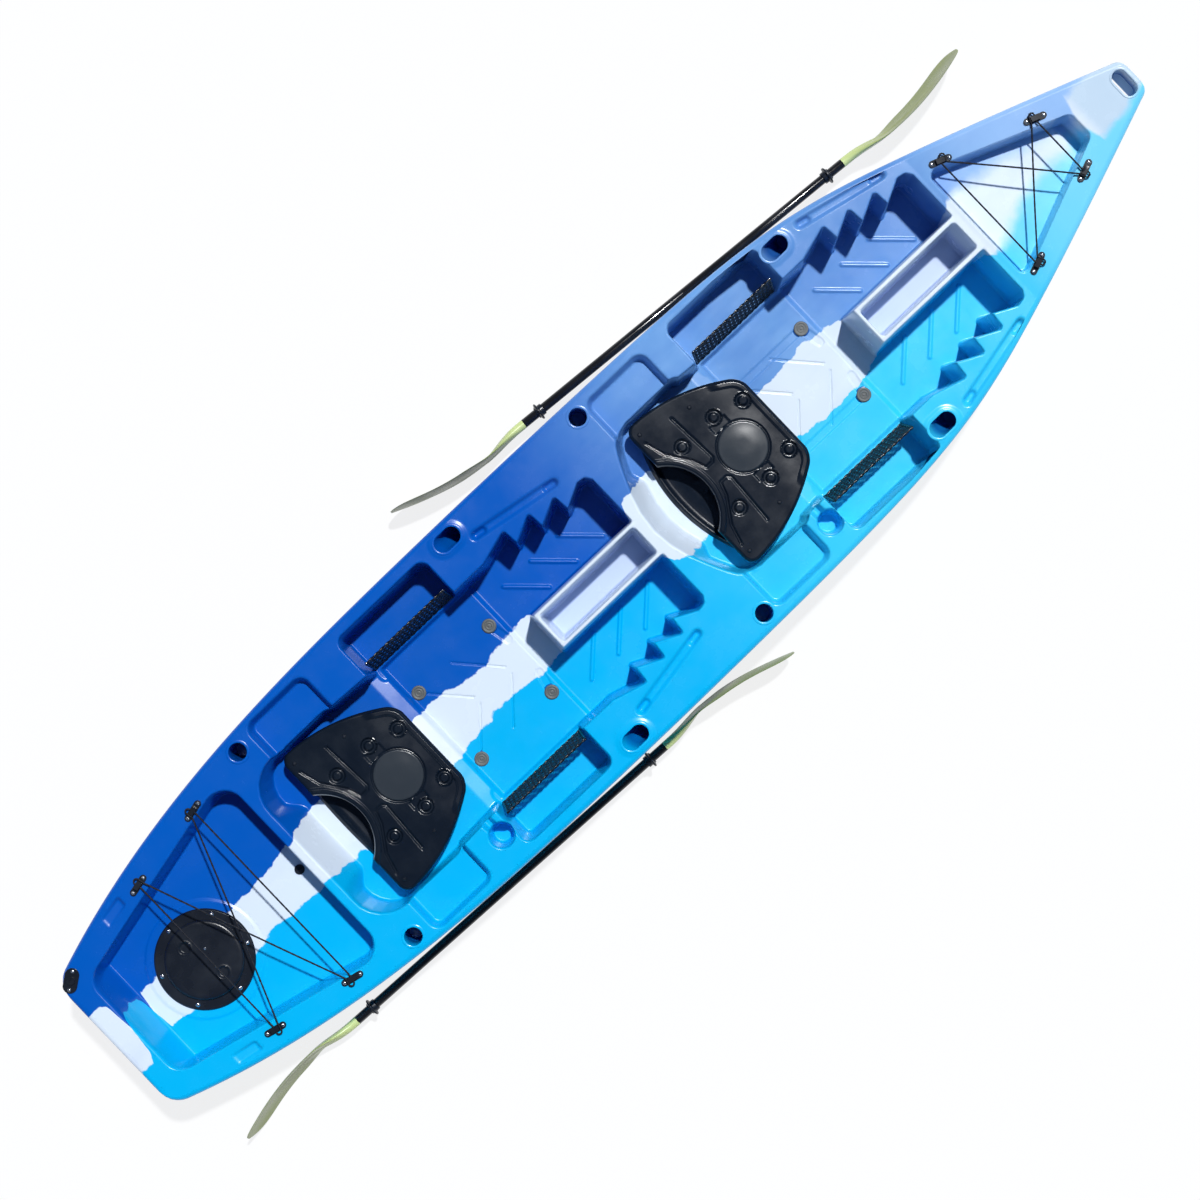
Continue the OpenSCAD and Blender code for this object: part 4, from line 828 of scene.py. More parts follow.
# growth of the outline over a lip, then the height above or below the deck
ROUND_LIP = ((9, -1.5), (8.4, 1.2), (6, 2), (2.5, 2), (0.6, 1.2), (0, -1))
SLANT_LIP = ((9, 1), (8.4, 3.6), (6, 4.4), (2.5, 4.4), (0.6, 3.6), (0, 1))
GRIP_TOP = ((8, -1.5), (7, 1), (5, 1.6), (2, 1.4), (0.4, 0), (0, -3))
GRIP_UNDER = ((0, 4), (0.4, 0.5), (2, -0.8), (7, -1), (8, 1.5))
SCUPPER_UNDER = ((0, 1), (1.5, -0.4), (10, -0.8), (11, 2))
# growth, then the height over the keel
ROUND_WALL = [(0, 250), (-0.5, 196), (-3, 190.6), (-8, 190)]
SCUPPER_LIP = [(11, 147), (10, 149.2), (8, 149.9), (1.5, 149.9), (0, 148.5)]
SCUPPER_R = 15.0
SLANT_DEPTH, SLANT_SHIFT, SLANT_DRAW = 120.0, 60.0, 12.0


def sleeve(place, levels, long_x=0.0, long_y=0.0, radius=HOLDER_R, floor=True):
    """A hole's lip and wall, of circles or of half circles set apart along or across the boat.

    Each level is a growth, a height (or a height for each x), a forward shift and a half length.
    """
    turn = circle(SLEEVE_SIDES)
    c, s = np.cos(turn), np.sin(turn)
    rings = []
    for grow, height_of, *slant in levels:
        shift, length = slant or (0.0, long_x)
        x = place[0] + shift + np.sign(c) * length + (radius + grow) * c
        y = place[1] + np.sign(s) * long_y + (radius + grow) * s
        rings.append(np.stack([x, y, height_of(x) if callable(height_of) else height_of + 0 * x], -1))
    points, faces = loft(rings, last=rings[-1].mean(0) if floor else None)
    return turned_out(points, faces, (0, 0, 1), SLEEVE_SIDES)


sleeves = []
for side in (1, -1):
    for at in ROUND_HOLDERS:
        lip = [(grow, GUNWALE + rise) for grow, rise in ROUND_LIP]
        sleeves.append(sleeve((at, side * inboard(at, HOLDER_INSET)), lip + ROUND_WALL))
    for at in SLANT_HOLDERS:
        lip = [(grow, GUNWALE + rise, 0, SLOT_HALF) for grow, rise in SLANT_LIP]
        wall = [(grow, GUNWALE - SLANT_DEPTH * t, SLANT_SHIFT * t, SLOT_HALF - SLANT_DRAW * t)
                for grow, t in ((-0.4, 0.2), (-0.8, 0.4), (-1.2, 0.6), (-1.6, 0.8), (-1.92, 0.96), (-5, 1))]
        sleeves.append(sleeve((at, side * inboard(at, HOLDER_INSET)), lip + wall, SLOT_HALF))
for place in SCUPPERS:
    under = float(channel_at(np.array(place[0])) + keel_at(np.array(place[0])))
    levels = SCUPPER_LIP + [(grow, under + rise) for grow, rise in SCUPPER_UNDER]
    sleeves.append(sleeve(place, levels, radius=SCUPPER_R, floor=False))
levels = [(grow, lambda x, at=at, rise=rise: at(x) + rise)
          for at, edge in ((deck_at, GRIP_TOP), (keel_at, GRIP_UNDER)) for grow, rise in edge]
sleeves.append(sleeve((GRIP_X, 0), levels, 0.0, GRIP_HALF, GRIP_R, floor=False))
sleeve_shape = join(sleeves)
sleeve_x, _, sleeve_z = sleeve_shape[0].T
# how far down its hole each point lies, which darkens the colour there as painted shade; the grip's mouth is
# higher than the others
deep = np.where(sleeve_x > 1900, ease((368 - sleeve_z) / 30), ease((331 - sleeve_z) / 40))
make_piece("hole_sleeves", sleeve_shape, SKIN, "hull_shell", sharp=50, values={"deep": deep})
print("sleeves:", len(sleeves))

# %% [markdown]
# ## Seats
# Each seat is a black moulded backrest, folded down over a shallow pan that stays on the
# hull. The hinge pins keep their solids. The backrest is a pad of even thickness with
# rolled edges: lines run from its hinge edge to its top edge, and the height at a point
# comes from its distance to the outline. The raised rim of the cut-out, the top lip, the
# disc and the grooves are added to that height.

# %% Backrest outline
BACK_TAIL, BACK_LENGTH, BACK_ROOT, BACK_TOP, BACK_MIDDLE = 27.0, 330.0, 270.0, 152.0, 24.0
ARC_R, ARC_X = 152.6, -111.6
DISC_X, DISC_R = 196.0, 75.0
BOSSES = ((288.0, 98.0), (192.0, 121.0), (66.0, 121.0))
TONGUE = ((100, 212), (110, 40), (100, 30), (76, 30), (62, 70), (14, 140), (-4, 204))
HINGE_Z, EDGE_R = 238.0, 10.0


def back_width(x):
    """Half width of the backrest: it narrows by a power of the length, with rounded corners."""
    taper = np.clip((x + BACK_TAIL) / (BACK_LENGTH + BACK_TAIL), 0, 1) ** 2.2
    return (BACK_ROOT - (BACK_ROOT - BACK_TOP) * taper - corner_cut(x + BACK_TAIL, 34)
            - corner_cut(BACK_LENGTH - x, 30))


edge_x = -BACK_TAIL + (BACK_LENGTH + BACK_TAIL) * (1 - np.cos(np.linspace(0, np.pi, 161))) / 2
edge_y = back_width(edge_x)
back_half, widest = edge_y.max(), int(edge_y.argmax())
y_lines = back_half * np.sin(np.linspace(-np.pi / 2, np.pi / 2, 291))[1:-1]
y_lines = 0.75 * np.linspace(-back_half, back_half, 291)[1:-1] + 0.25 * y_lines
out = np.abs(y_lines)
aft_edge = np.where(out > edge_y[0], np.interp(out, edge_y[:widest + 1], edge_x[:widest + 1]), -BACK_TAIL)
bite = ARC_X + np.sqrt(np.maximum(0, ARC_R ** 2 - out ** 2))
aft_edge = np.where(out < ARC_R, np.maximum(aft_edge, bite), aft_edge)
fore_edge = np.interp(out, edge_y[:widest - 1:-1], edge_x[:widest - 1:-1])


# %% Backrest surface
def edge_roll(distance):
    """Half thickness near an edge: a quarter circle."""
    return EDGE_R * np.sqrt(np.clip(1 - (1 - np.clip(distance / EDGE_R, 0, 1)) ** 2, 0, 1))


def back_points(count):
    """Plan points on each line, closer at its ends, with their distances to the outline and the cut-out."""
    even = np.linspace(0, 1, count)
    share = 0.55 * even + 0.45 * (1 - np.cos(np.pi * even)) / 2
    x = aft_edge[:, None] + (fore_edge - aft_edge)[:, None] * share
    y = np.broadcast_to(y_lines[:, None], x.shape)
    outline_in = -to_polygon(x, y, mirrored(list(zip(edge_x, edge_y))))
    bite_in = np.hypot(x - ARC_X, y) - ARC_R
    return x, y, np.maximum(outline_in, 0), np.maximum(bite_in, 0)


def back_relief(x, y, outline_in, bite_in):
    """Raised and sunk features of the top, in mm."""
    a = np.abs(y)
    # a raised rim round the cut-out, a lip along the top edge, and a fall towards that edge
    relief = 5 * ease(bite_in / 5) * ease((23 - bite_in) / 5)
    lip = ease((outline_in - 6) / 5) * ease((27 - outline_in) / 6) * ease((x - 235) / 30)
    relief = np.maximum(relief, 4 * lip) - 7 * ease((x - 140) / 190) ** 2
    # the domed disc in its ring groove, with a recess to each side
    disc = np.hypot(x - DISC_X, y)
    relief += 1.6 * ease((70 - disc) / 50) - 5 * ease((4.6 - np.abs(disc - DISC_R - 2)) / 2.5)
    recess = np.maximum(np.abs(x - DISC_X + 6) - 28, np.abs(a - 93) - 13)
    relief -= 6 * ease((2.5 - recess) / 4)
    # the groove round the tongue, then bosses in round hollows
    groove = np.min([to_segment(x, a, p, q) for p, q in zip(TONGUE, TONGUE[1:])], axis=0)
    relief -= 5 * ease((5.4 - groove) / 3) * ease((209 - a) / 8)
    for bx, by in BOSSES:
        d = np.hypot(x - bx, a - by)
        relief = np.where(d < 25, -9 * ease((24.5 - d) / 3) + 9 * ease((15 - d) / 4), relief)
    return relief


upper = back_points(190)
upper_z = BACK_MIDDLE + edge_roll(np.minimum(*upper[2:])) + back_relief(*upper)
lower = [values[:, -2:0:-1] for values in back_points(60)]
inset = np.minimum(*lower[2:])
lower_z = BACK_MIDDLE - edge_roll(inset) + 3 * ease((inset - 22) / 8)
pairs = ((upper[0], lower[0]), (upper[1], lower[1]), (upper_z, lower_z))
back_rings = np.stack([np.concatenate(pair, 1) for pair in pairs], -1)
tips = [(float(edge_x[widest]), y, BACK_MIDDLE) for y in (-back_half, back_half)]
back_shape = outward(*loft(back_rings, *tips))
back_x, back_y, back_z = back_shape[0].T
disc_share = ease((DISC_R - np.hypot(back_x - DISC_X, back_y)) / 3) * (back_z > BACK_MIDDLE)
print("backrest grid", back_rings.shape)

# %% Hinge rings
BORE, CHAMFER = 5.06, 0.8


def lug(y, half=10.0, outer=10.0, root=17.0, way=1, aft=10.0):
    """A hinge ring about the pin, drawn out square up into the backrest or down into the pan."""
    turn = circle(64)
    c, s = np.cos(turn), np.sin(turn)
    square = np.minimum(np.where(c < 0, aft, outer) / np.maximum(np.abs(c), 1e-6),
                        root / np.maximum(way * s, 1e-6))
    reach = np.where(way * s > 0, square, outer)
    section = (
        (reach - CHAMFER, -half), (reach, CHAMFER - half), (reach, half - CHAMFER), (reach - CHAMFER, half),
        (5.3, half), (BORE, half - 0.4), (BORE, 0.4 - half), (5.3, -half))
    rings = [np.stack([radius * c, y + across + 0 * c, radius * s], -1) for radius, across in section]
    return outward(*loft(rings, closed=True))


# %% Seat pans
PAN_BASE, PAN_RIM, PAN_AFT, PAN_FORE = 186.0, 44.0, -22.0, 300.0
PAN_HUB = np.array([120.0, 0.0])
# steps in from the outline, each with its share of the rim's height
PAN_SECTION = ((0.0, 0.0), (2.0, 0.3), (9.0, 0.96), (11.5, 1.0), (14.5, 0.985), (18.0, 0.86), (23.0, 0.45),
               (34.0, 0.22), (60.0, 0.15))


def pan_outline(bulge):
    """The pan's outline in even steps: sides that narrow forward, and an aft edge bulging by a parabola."""
    side_x = np.linspace(PAN_AFT, PAN_FORE, 66)
    side_y = (np.interp(side_x, (PAN_AFT, 262), (230, 178)) - corner_cut(side_x - PAN_AFT, 30)
              - corner_cut(PAN_FORE - side_x, 42))
    aft_y = np.linspace(0, side_y[0], 16)[1:-1]
    aft_x = PAN_AFT - bulge * (1 - (aft_y / side_y[0]) ** 2)
    corners = np.array(mirrored(list(zip(aft_x, aft_y)) + list(zip(side_x, side_y))))
    return spaced(np.column_stack([corners, 0 * corners[:, 0]]), 4.0, closed=True)[:, :2]


def pan_shape(bulge):
    """A dish: its outline drawn in by steps towards its hub, low behind, with a ridge along its middle."""
    spoke = pan_outline(bulge) - PAN_HUB
    reach = np.linalg.norm(spoke, axis=1, keepdims=True)
    steps = [(1 - inward / reach, share) for inward, share in PAN_SECTION]
    steps += [(scale, PAN_SECTION[-1][1]) for scale in (0.55, 0.45, 0.35, 0.25, 0.15, 0.05)]
    base = np.full(len(spoke), PAN_BASE)
    rings = [np.column_stack([PAN_HUB + spoke * scale, base]) for scale in (0.7, 1 - 4 / reach)]
    for scale, share in steps:
        plan = PAN_HUB + spoke * scale
        x, y = plan.T
        ridge = 9 * ease((23 - np.abs(y)) / 10) * ease((90 - np.abs(x - 130)) / 20)
        low_aft = 1 - 0.8 * ease((-2 - x) / 14)
        z = PAN_BASE + 1 + PAN_RIM * share * low_aft + ridge * (share < 0.3)
        rings.append(np.column_stack([plan, z]))
    return outward(*loft(rings, (*PAN_HUB, PAN_BASE), (*PAN_HUB, rings[-1][:, 2].max())))


# %% Seats
LUG_Y, EAR_Y = 170.0, (152.0, 188.0)
RIVETS = ((0.0, 232.0), (160.0, 190.0))
rivet = lathe([(0, 3.2), (3, 3.0), (5.2, 2.0), (6.4, 0.4), (6.4, -2), (0, -2)], 28)
back_lugs = join([lug(LUG_Y), lug(-LUG_Y)])
ear = partial(lug, half=6.5, outer=11.0, root=48.0, way=-1, aft=7.5)
pan_ears = join([ear(s * y) for y in EAR_Y for s in (1, -1)])
back_rivets = join([moved(rivet, (x, s * y, BACK_MIDDLE + EDGE_R)) for x, y in RIVETS for s in (1, -1)])
for name, seat, bulge in (("rear", SEATS[0], 10.0), ("front", SEATS[1], 40.0)):
    hinge = (seat, 0, HINGE_Z)
    rest, pan = (f"{name}_backrest", f"{name}_back"), f"{name}_seat_pan"
    make_piece(f"{name}_back_pad", moved(back_shape, hinge), SEAT, *rest, 70, {"disc": disc_share})
    make_piece(f"{name}_back_lugs", moved(back_lugs, hinge), FITTING, *rest)
    make_piece(f"{name}_pan_dish", moved(pan_shape(bulge), (seat, 0, 0)), SEAT, pan, sharp=50)
    make_piece(f"{name}_pan_ears", moved(pan_ears, hinge), SEAT, pan)
    make_piece(f"{name}_back_rivets", moved(back_rivets, hinge), FITTING, *rest)
print("seats:", len(SEATS))

# %% [markdown]
# ## Solids that keep their shape
# The rest of the fittings are simple turned or moulded pieces whose solids are right, so
# they only take a finish. A Weld joins their loose triangles and a narrow Bevel breaks
# the edges, which catches the light as a moulded edge does.

# %% Dress the solids
WELD_REACH = 0.00001                # metres


def dress(names, finish, bevel=0.8):
    """Give solids of the frame a finish and broken edges."""
    for name in names:
        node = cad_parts[name]
        node.data.materials.clear()
        node.data.materials.append(bpy.data.materials[finish])
        weld = node.modifiers.new("weld", "WELD")
        weld.merge_threshold = WELD_REACH
        edge = node.modifiers.new("edge", "BEVEL")
        edge.width = bevel * MM
        edge.segments = 2
        edge.limit_method = "ANGLE"
        edge.angle_limit = math.radians(40)


def paddle_nodes(part):
    """Names of one part of all four paddle halves."""
    return [f"{side}_{part}_{end}" for side in ("port", "stbd") for end in ("aft", "fore")]


EYES = [f"{end}_eye_{k}" for end in ("bow", "stern") for k in range(1, 5)]
dress(["hatch_rim", "well_bung", "drain_flange", "drain_plug", *EYES], FITTING)
dress(["hatch_gasket"], RUBBER, 0.4)
dress(["front_hinge_pins", "rear_hinge_pins", "port_button", "stbd_button"], SCREW, 0.4)
dress(paddle_nodes("shaft"), TUBE, 0.5)
dress(paddle_nodes("ring"), FITTING, 0.6)
print("dressed:", sum(len(node.modifiers) > 0 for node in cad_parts.values()))

# %% [markdown]
# ## Hatch, plugs and screws
# The hatch lid is turned, with two finger dimples pressed into it, so it is a stack of
# rings whose height also depends on the angle. The scupper plugs are turned rubber with
# rings on their heads. Every fitting is held by bright screws with a cross recess.

# %% Hatch lid
LID_Z, LID_TOP, LID_HOLLOW = 215.6, 12.0, 5.0
DIMPLE_OUT, DIMPLE_YAW, DIMPLE_R, DIMPLE_DEPTH, DIMPLE_RIM = 67.0, 105, 18.5, 5.0, 1.2
top_radii = np.linspace(2, 94, 62)
lid_profile = np.array([(r, LID_TOP) for r in top_radii] + [
    (98, 12.0), (104, 11.95), (108, 11.8), (111, 11.3), (113.5, 10.3), (115.6, 8.6), (117.2, 6.6), (118, 5.0),
    (118, 1.2), (117.2, 0.2), (116, 0.0), (92, 0.0), (90, 0.6), (90, 4.4), (88, 5.0), (40, 5.0), (2, 5.0)])
lid_x, lid_y = (lid_profile[:, :1] * way(circle(192)) for way in (np.cos, np.sin))
lid_z = np.broadcast_to(lid_profile[:, 1:], lid_x.shape).copy()
on_top = np.arange(len(lid_profile))[:, None] < len(top_radii)
for c, s in (cos_sin(DIMPLE_YAW), cos_sin(DIMPLE_YAW + 180)):
    dimple = np.hypot(lid_x - DIMPLE_OUT * c, lid_y - DIMPLE_OUT * s)
    lid_z -= on_top * DIMPLE_DEPTH * ease((DIMPLE_R - dimple) / 6)
    lid_z += on_top * DIMPLE_RIM * ease((3 - np.abs(dimple - DIMPLE_R - 1.5)) / 3)
lid_rings = np.stack([lid_x + HATCH[0], lid_y, lid_z + LID_Z], -1)
lid_shape = outward(*loft(lid_rings, *((HATCH[0], 0, z + LID_Z) for z in (LID_TOP, LID_HOLLOW))))
make_piece("hatch_lid_turned", lid_shape, FITTING, "hatch_lid", "hatch_cover", 50)
print("lid", lid_rings.shape)

# %% Scupper plugs
PLUG_Z = 150.3
plug_shape = lathe([
    (0, 4.4), (2.5, 4.2), (3.8, 3.2), (5.2, 2.6), (6.8, 2.6), (8, 4.0), (9.4, 4.6), (11, 4.4), (12, 3.4),
    (13.6, 3.2), (15, 4.4), (16.6, 5.0), (19.4, 4.8), (21.2, 3.9), (22, 2.4), (22, 0.8), (21.2, 0), (14.6, 0),
    (14.3, -0.8), (14, -5), (12.6, -30), (12, -37), (11.2, -38), (8.4, -38), (8, -37.4), (8, -5.2),
    (0, -5)], 56)
for k, place in enumerate(SCUPPERS, 1):
    name = f"scupper_plug_{k}"
    make_piece(f"{name}_turned", moved(plug_shape, (*place, PLUG_Z)), PLUG, name, f"{name}_body", 50)
print("plugs:", len(SCUPPERS))


# %% Screws
def screw(radius, height):
    """A domed screw head with a cross recess, on a short shank that reaches into its seat."""
    share = np.concatenate([np.linspace(0.08, 1, 12), [1.0, 0.5]])[:, None]
    x, y = (radius * share * way(circle(40)) for way in (np.cos, np.sin))
    z = height * np.sqrt(np.maximum(0, 1 - 0.96 * share ** 2)) + 0 * x
    arm = np.minimum(np.abs(x), np.abs(y))
    z -= 0.5 * height * ease((0.16 * radius - arm) / (0.1 * radius)) * (share < 0.62)
    z[-2:] = -1.0
    return outward(*loft(np.stack([x, y, z], -1), (0, 0, 0.5 * height), (0, 0, -1.0)))


BOW_TILT = math.degrees(math.atan2(BOW_RISE, BOW - FOREDECK))
EYE_INSET, EYE_SCREW_X, EYE_FACE = 63.0, 26.0, 4.3
RIM_SCREW_R, RIM_SCREW_Z = 134.0, 215.3
DRAIN_SCREW_X, DRAIN_FACE, DRAIN_YAW, DRAIN_Z = 27.0, 4.0, 36.0, 330.3


def eye(x, side, tilt, yaw):
    """A pad eye: its place on the deck, its tilt, its yaw and its side of the boat."""
    place = np.array([x, side * inboard(x, EYE_INSET), float(deck_at(np.array(x)))])
    return place, tilt, side * yaw, side


def in_eye(where, points):
    """Points of an eye's own frame set on the boat: turned by its yaw, then tilted, then moved."""
    place, tilt, yaw, _ = where
    return turned(turned(points, yaw), 0, tilt, place)


bow_eyes = [eye(x, s, BOW_TILT, -21.0) for x in (1458.0, 1734.0) for s in (1, -1)]
stern_eyes = [eye(x, s, 0.0, 13.0) for x in (-1393.0, -1655.0) for s in (1, -1)]
eye_screw, rim_screw, drain_screw = screw(5.4, 2.6), screw(6.6, 3.2), screw(5.0, 2.4)
screws = []
for where in bow_eyes + stern_eyes:
    for x in (-EYE_SCREW_X, EYE_SCREW_X):
        screws.append((in_eye(where, eye_screw[0] + (x, 0, EYE_FACE)), eye_screw[1]))
for c, s in (cos_sin(38 + 60 * k) for k in range(6)):
    screws.append(moved(rim_screw, (HATCH[0] + RIM_SCREW_R * c, RIM_SCREW_R * s, RIM_SCREW_Z)))
for x in (-DRAIN_SCREW_X, DRAIN_SCREW_X):
    head = turned(drain_screw[0] + (x, 0, DRAIN_FACE), DRAIN_YAW, 0, (*DRAIN, DRAIN_Z))
    screws.append((head, drain_screw[1]))
make_piece("fitting_screws", join(screws), SCREW, sharp=35)
vent = lathe([(0, 2.6), (2.5, 2.4), (4, 1.6), (4.6, 0), (4.6, -1), (0, -1)], 28)
vent_place = (HATCH[0] + 26, 23, LID_Z + LID_TOP)
make_piece("hatch_vent", moved(vent, vent_place), SCREW, body="hatch_cover", sharp=35)
print("screws:", len(screws))

# %% [markdown]
# ## Shock cords
# Each lashing is one elastic cord, knotted into a loop and pulled taut: it passes out
# through the arch of an eye, round the arch's leg and back, then across to the next eye.
# Two legs lie across the boat and two cross over each other. The points are those of the
# solid cord; the round cover is carried along them.

# %% Cord route
CORD_R, CORD_RISE, CORD_STEP = 2.5, 9.8, 3.0
OFF, CROSSING = 15.8, 7             # between the two legs at an eye, and the lift where two cross


def turn_round(where, way):
    """The cord's points at one eye: out through the arch, a half circle round its leg, and back."""
    a = np.radians(np.arange(165, 0, -15))
    bend = np.stack([OFF / 2 * (1 + np.cos(a)), 10 + OFF / 2 * np.sin(a)], -1)
    plan = np.vstack([[(0, -10), (0, 10)], bend, [(OFF, 10), (OFF, -10)]])
    points = np.column_stack([way * plan[:, 0], where[3] * plan[:, 1], np.full(len(plan), CORD_RISE)])
    return in_eye(where, points)


def span(a, b, lift):
    """A leg between two eyes, lifted in the middle by a parabola where two legs cross."""
    t = np.linspace(0, 1, 25)[1:-1, None]
    return a * (1 - t) + b * t + np.array([0, 0, 4 * lift]) * t * (1 - t)


def lashing(port_fore, stbd_fore, port_aft, stbd_aft):
    """The whole loop: across the fore eyes, over to the aft ones, across them and back."""
    a, b = turn_round(port_fore, -1), turn_round(stbd_fore, -1)
    c, d = turn_round(port_aft, 1), turn_round(stbd_aft, 1)
    return np.vstack([a[::-1], b, span(b[-1], c[-1], CROSSING), c[::-1], d, span(d[-1], a[-1], -CROSSING)])


for name, eyes in (("bow_bungee", bow_eyes[2:] + bow_eyes[:2]), ("stern_bungee", stern_eyes)):
    path = spaced(lashing(*eyes), CORD_STEP, closed=True)
    plait = 0.16 * np.sin(4 * circle(16)[None] + np.arange(len(path))[:, None] * 0.9)
    cover = tube(path, CORD_R + plait, 16, closed=True)
    make_piece(f"{name}_cover", cover, CORD, name, sharp=180)
    print(name, round(len(path) * CORD_STEP / 1000, 2), "m of cord")

# %% [markdown]
# ## Pocket nets
# Each side pocket is closed by a knotted net, leaning outward from the cockpit. Its
# strands run both ways on the bias and pass over and under each other, inside a bound
# edge. Two bright screws hold it at each end.

# %% Nets
NET_LENGTH, NET_HEIGHT, NET_PITCH, STRAND_R = 316.0, 128.0, 15.0, 1.7
NET_RISE, NET_OUT = cos_sin(12)     # the net's lean
NET_Y, NET_Z, NET_START, BINDING_R = 272.0, 172.6, 12.0, 3.2


def net_points(u, v, w, aft, side):
    """A point of the net's own plane, along, up and out of it, set leaning in its pocket."""
    return np.stack([aft + NET_START + u, side * (NET_Y + v * NET_OUT - w * NET_RISE),
                     NET_Z + v * NET_RISE + w * NET_OUT], -1)


def strand(start, way):
    """One strand on the bias, waving over and under the strands that it crosses."""
    low, high = max(0, -start), min(NET_HEIGHT, NET_LENGTH - start)
    v = np.arange(low + 1.5, high - 1.5, 3.5)
    u = start + v
    if way < 0:
        u = NET_LENGTH - u
    return u, v, 0.9 * way * np.cos(np.pi * (2 * v + (start % (2 * NET_PITCH))) / NET_PITCH)


def net_shape(pocket, side):
    """All strands that are long enough to see, with the twisted binding round them."""
    starts = np.arange(-NET_HEIGHT + 8, NET_LENGTH - 6, NET_PITCH)
    strands = [strand(start, way) for way in (1, -1) for start in starts]
    parts = [tube(net_points(*line, pocket, side), STRAND_R, 6) for line in strands if len(line[0]) > 2]
    ends, sides = (2.5, NET_LENGTH - 2.5), (2.5, NET_HEIGHT - 2.5)
    u, v = np.array([ends[0], ends[1], ends[1], ends[0]]), np.repeat(sides, 2)
    edge = spaced(net_points(u, v, 0 * u, pocket, side), 2.0, closed=True)
    twist = np.arange(len(edge))[:, None] * 2 * np.pi / 22
    parts.append(tube(edge, BINDING_R + 0.9 * np.cos(2 * (circle(14)[None] + twist)), 14, closed=True))
    return join(parts)


net_screw = screw(4.4, 2.2)
for fore, pocket in (("rear", POCKETS[0]), ("front", POCKETS[1])):
    for side_name, side in (("port", 1), ("stbd", -1)):
        name = f"net_{fore}_{side_name}"
        make_piece(f"{name}_knotted", net_shape(pocket, side), NET, name, sharp=60)
        spots = [(u, v) for u in (5.0, NET_LENGTH - 5.0) for v in (NET_HEIGHT - 4, NET_HEIGHT - 24)]
        stand = net_screw[0][:, [0, 2, 1]] * (1, side, 1)
        heads = [outward(stand + net_points(u, v, -2.0, pocket, side), net_screw[1]) for u, v in spots]
        make_piece(f"{name}_screws", join(heads), SCREW, sharp=35)
print("nets:", 2 * len(POCKETS))

# %% [markdown]
# ## Paddles
# The shafts, drip rings and buttons keep their solids. A blade is a loft: across it an
# ellipse that grows from the shaft's circle into a thin, dished section, along it a curve
# that sweeps away from the shaft. A spine runs down its middle. The two halves of each
# paddle are feathered: one blade of each is turned about the shaft.

# %% Blades
HALF_SHAFT, BLADE_LENGTH, BLADE_HALF, SHAFT_R = 615.3, 475.0, 84.0, 14.0
TIP_START, TIP_POWER = 0.74, 3.4    # where the tip's rounding starts, and how blunt it is


def blade_rings():
    """Rings along a blade, each an ellipse bent across its width, with a spine that dies out at the tip."""
    u = np.concatenate([np.linspace(0, TIP_START, 46)[:-1],
                        TIP_START + (1 - TIP_START) * np.sin(np.linspace(0, np.pi / 2, 30))])[:, None]
    a = circle(72)[None]
    w = SHAFT_R + (BLADE_HALF - SHAFT_R) * ease(u / 0.5)
    rounding = np.maximum(0, (u - TIP_START) / 0.262) ** TIP_POWER
    w = np.where(u > TIP_START, w * np.sqrt(np.maximum(0.02, 1 - rounding)), w)
    t = SHAFT_R - 11.2 * ease(u / 0.42)
    sweep = 47 * u ** 2 - 24 * np.sin(np.pi * u) * ease(3 * u)
    across = w * np.sin(a)
    spine = 3.2 * ease(u * 4) * ease((0.86 - u) / 0.4) * np.exp(-(across / 9) ** 2)
    dish = 10 * ease(2 * u) * (across / BLADE_HALF) ** 2
    side = t * np.cos(a) + np.sign(np.cos(a)) * spine + sweep + dish
    x = HALF_SHAFT + u * BLADE_LENGTH + 0 * a
    return np.stack([x, side, across], -1), np.broadcast_to(u, x.shape)


rings, along_blade = blade_rings()
blade_share = np.concatenate([along_blade.ravel(), [0, 1]])
# side, place of the middle, yaw, way out, then for each half its end, way, body and feather
PADDLES = (
    ("port", (688.0, 456.0, 84.0), -4.3, 1,
     (("fore", 1, "port_paddle_fore_half", 13), ("aft", -1, "port_paddle", 0))),
    ("stbd", (-900.0, -466.0, 84.0), -1.9, -1,
     (("fore", 1, "stbd_paddle", 0), ("aft", -1, "stbd_paddle_aft_half", 11))))
for side_name, place, yaw, flip, halves in PADDLES:
    for end, way, body, feather in halves:
        c, s = cos_sin(feather)
        local = rings @ np.array([[1, 0, 0], [0, c, s], [0, -s, c]]) * np.array([way, flip, 1])
        points, faces = loft(local, local[0].mean(0), local[-1].mean(0))
        shape = outward(turned(points, yaw, 0, place), faces)
        name = f"{side_name}_blade_{end}"
        make_piece(f"{name}_moulded", shape, BLADE, name, body, 60, {"along_blade": blade_share})
print("blades", rings.shape)

# %% [markdown]
# ## Floor and light
# The photograph is a cut-out on white, lit by a high sun from the bow. A plain floor is
# seen as white by the camera but still takes the boat's shadow. One lamp, far off and not
# quite a point, gives the shadows their direction, and the world's pale horizon fills
# them and shows in the gloss.

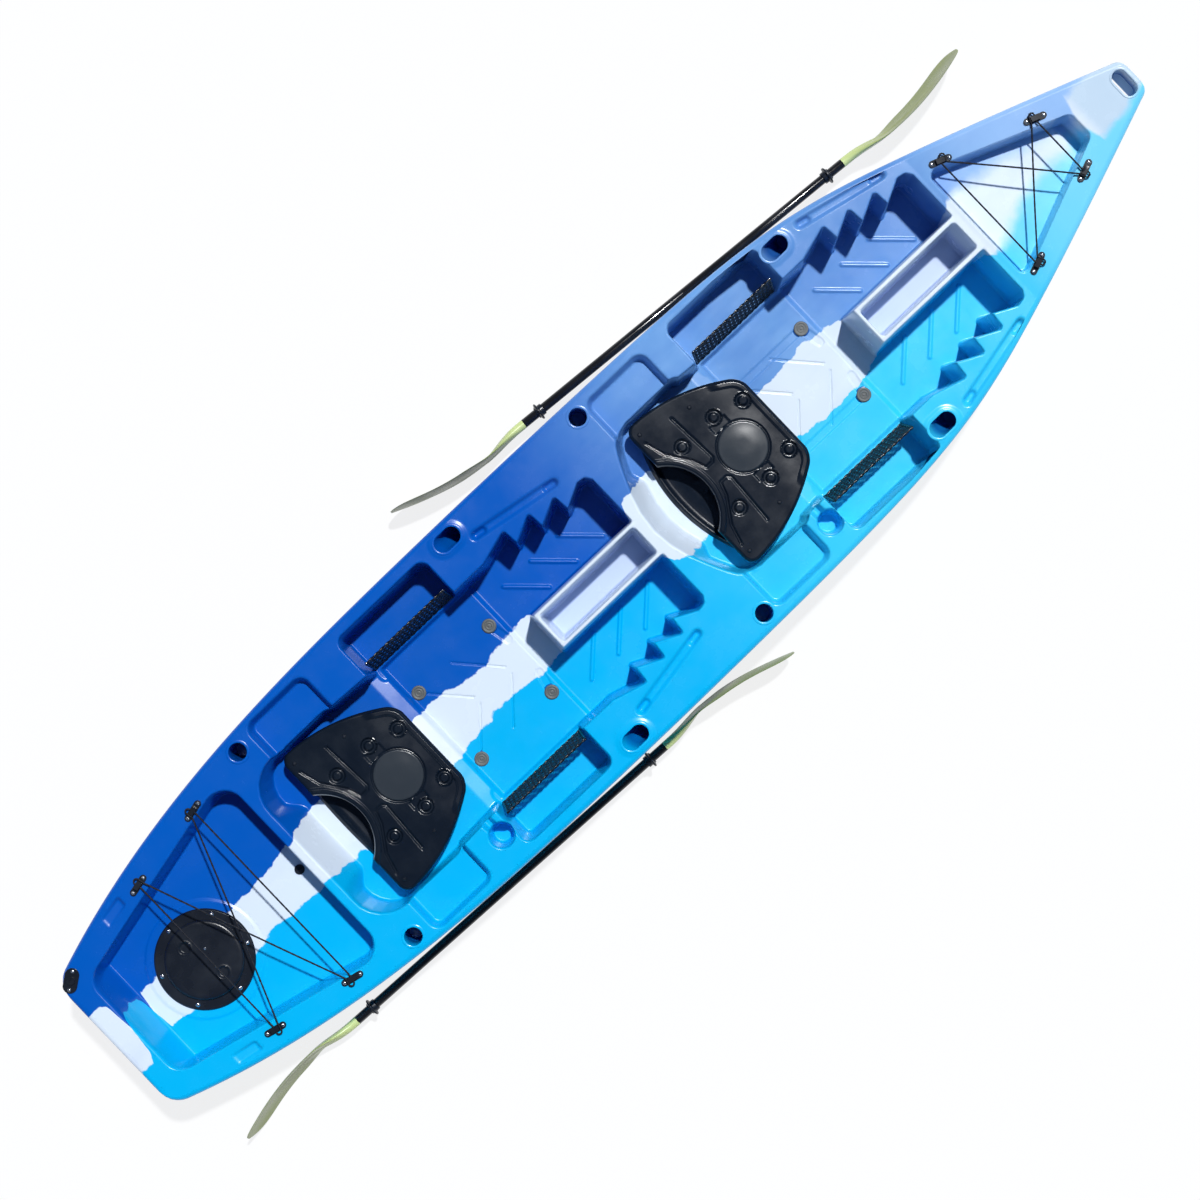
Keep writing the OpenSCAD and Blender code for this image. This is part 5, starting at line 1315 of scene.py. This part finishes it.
# %% Stage
FLOOR_HALF, FLOOR_WHITENESS = 14, 0.84      # metres, and a share
corners = [(x * FLOOR_HALF, y * FLOOR_HALF, 0) for x, y in ((-1, -1), (1, -1), (1, 1), (-1, 1))]
floor_mesh = bpy.data.meshes.new("studio_floor")
floor_mesh.from_pydata(corners, [], [(0, 1, 2, 3)])
floor = bpy.data.objects.new("studio_floor", floor_mesh)
scene.collection.objects.link(floor)
floor_finish, tree, shader, _ = new_material("pale_floor")
feed(tree, shader, [("Base Color", (0.9, 0.9, 0.9, 1)), ("Roughness", 0.9), ("Specular IOR Level", 0.0)])
seen = tree.nodes.new("ShaderNodeLightPath").outputs
direct = maths(tree, "MAXIMUM", seen["Is Glossy Ray"], seen["Is Transmission Ray"])
direct = maths(tree, "MAXIMUM", seen["Is Camera Ray"], direct)
white_floor = add_node(tree, "ShaderNodeEmission", [("Color", (1, 1, 1, 1)), ("Strength", 1.0)])
share = maths(tree, "MULTIPLY", direct, FLOOR_WHITENESS)
links = enumerate((share, shader.outputs[0], white_floor.outputs[0]))
floor_mix = add_node(tree, "ShaderNodeMixShader", links)
tree.links.new(floor_mix.outputs[0], tree.nodes["Material Output"].inputs["Surface"])
floor_mesh.materials.append(floor_finish)
floor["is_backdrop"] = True

# %% Light
HORIZON, ZENITH = (0.27, 0.33, 0.43), (0.045, 0.07, 0.125)
SUN, SUN_WIDTH, SUN_WAY = 3.35, math.radians(2.5), Vector((-0.4, -0.2, -1.0))

world = bpy.data.worlds.new("studio")
scene.world = world
world.use_nodes = True
sky = world.node_tree
sky_way = sky.nodes.new("ShaderNodeTexCoord").outputs["Generated"]
height_in_sky = add_node(sky, "ShaderNodeSeparateXYZ", [(0, sky_way)]).outputs[2]
sky_colour = mix_colour(sky, ramp(sky, height_in_sky, 0.0, 0.75), HORIZON, ZENITH)
sky_seen = sky.nodes.new("ShaderNodeLightPath").outputs["Is Camera Ray"]
background = mix_colour(sky, sky_seen, sky_colour, (1, 1, 1))
feed(sky, sky.nodes["Background"], [("Color", background), ("Strength", 1.0)])

key_data = bpy.data.lights.new("key", "SUN")
key_data.energy, key_data.angle = SUN, SUN_WIDTH
key = bpy.data.objects.new("key", key_data)
key.location = (4, 2, 10)
key.rotation_euler = SUN_WAY.to_track_quat("-Z", "Y").to_euler()
scene.collection.objects.link(key)
scene.view_settings.view_transform = "Standard"

# %% Sizes
low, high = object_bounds()
print("visual box", [round(v, 3) for v in (*low, *high)])
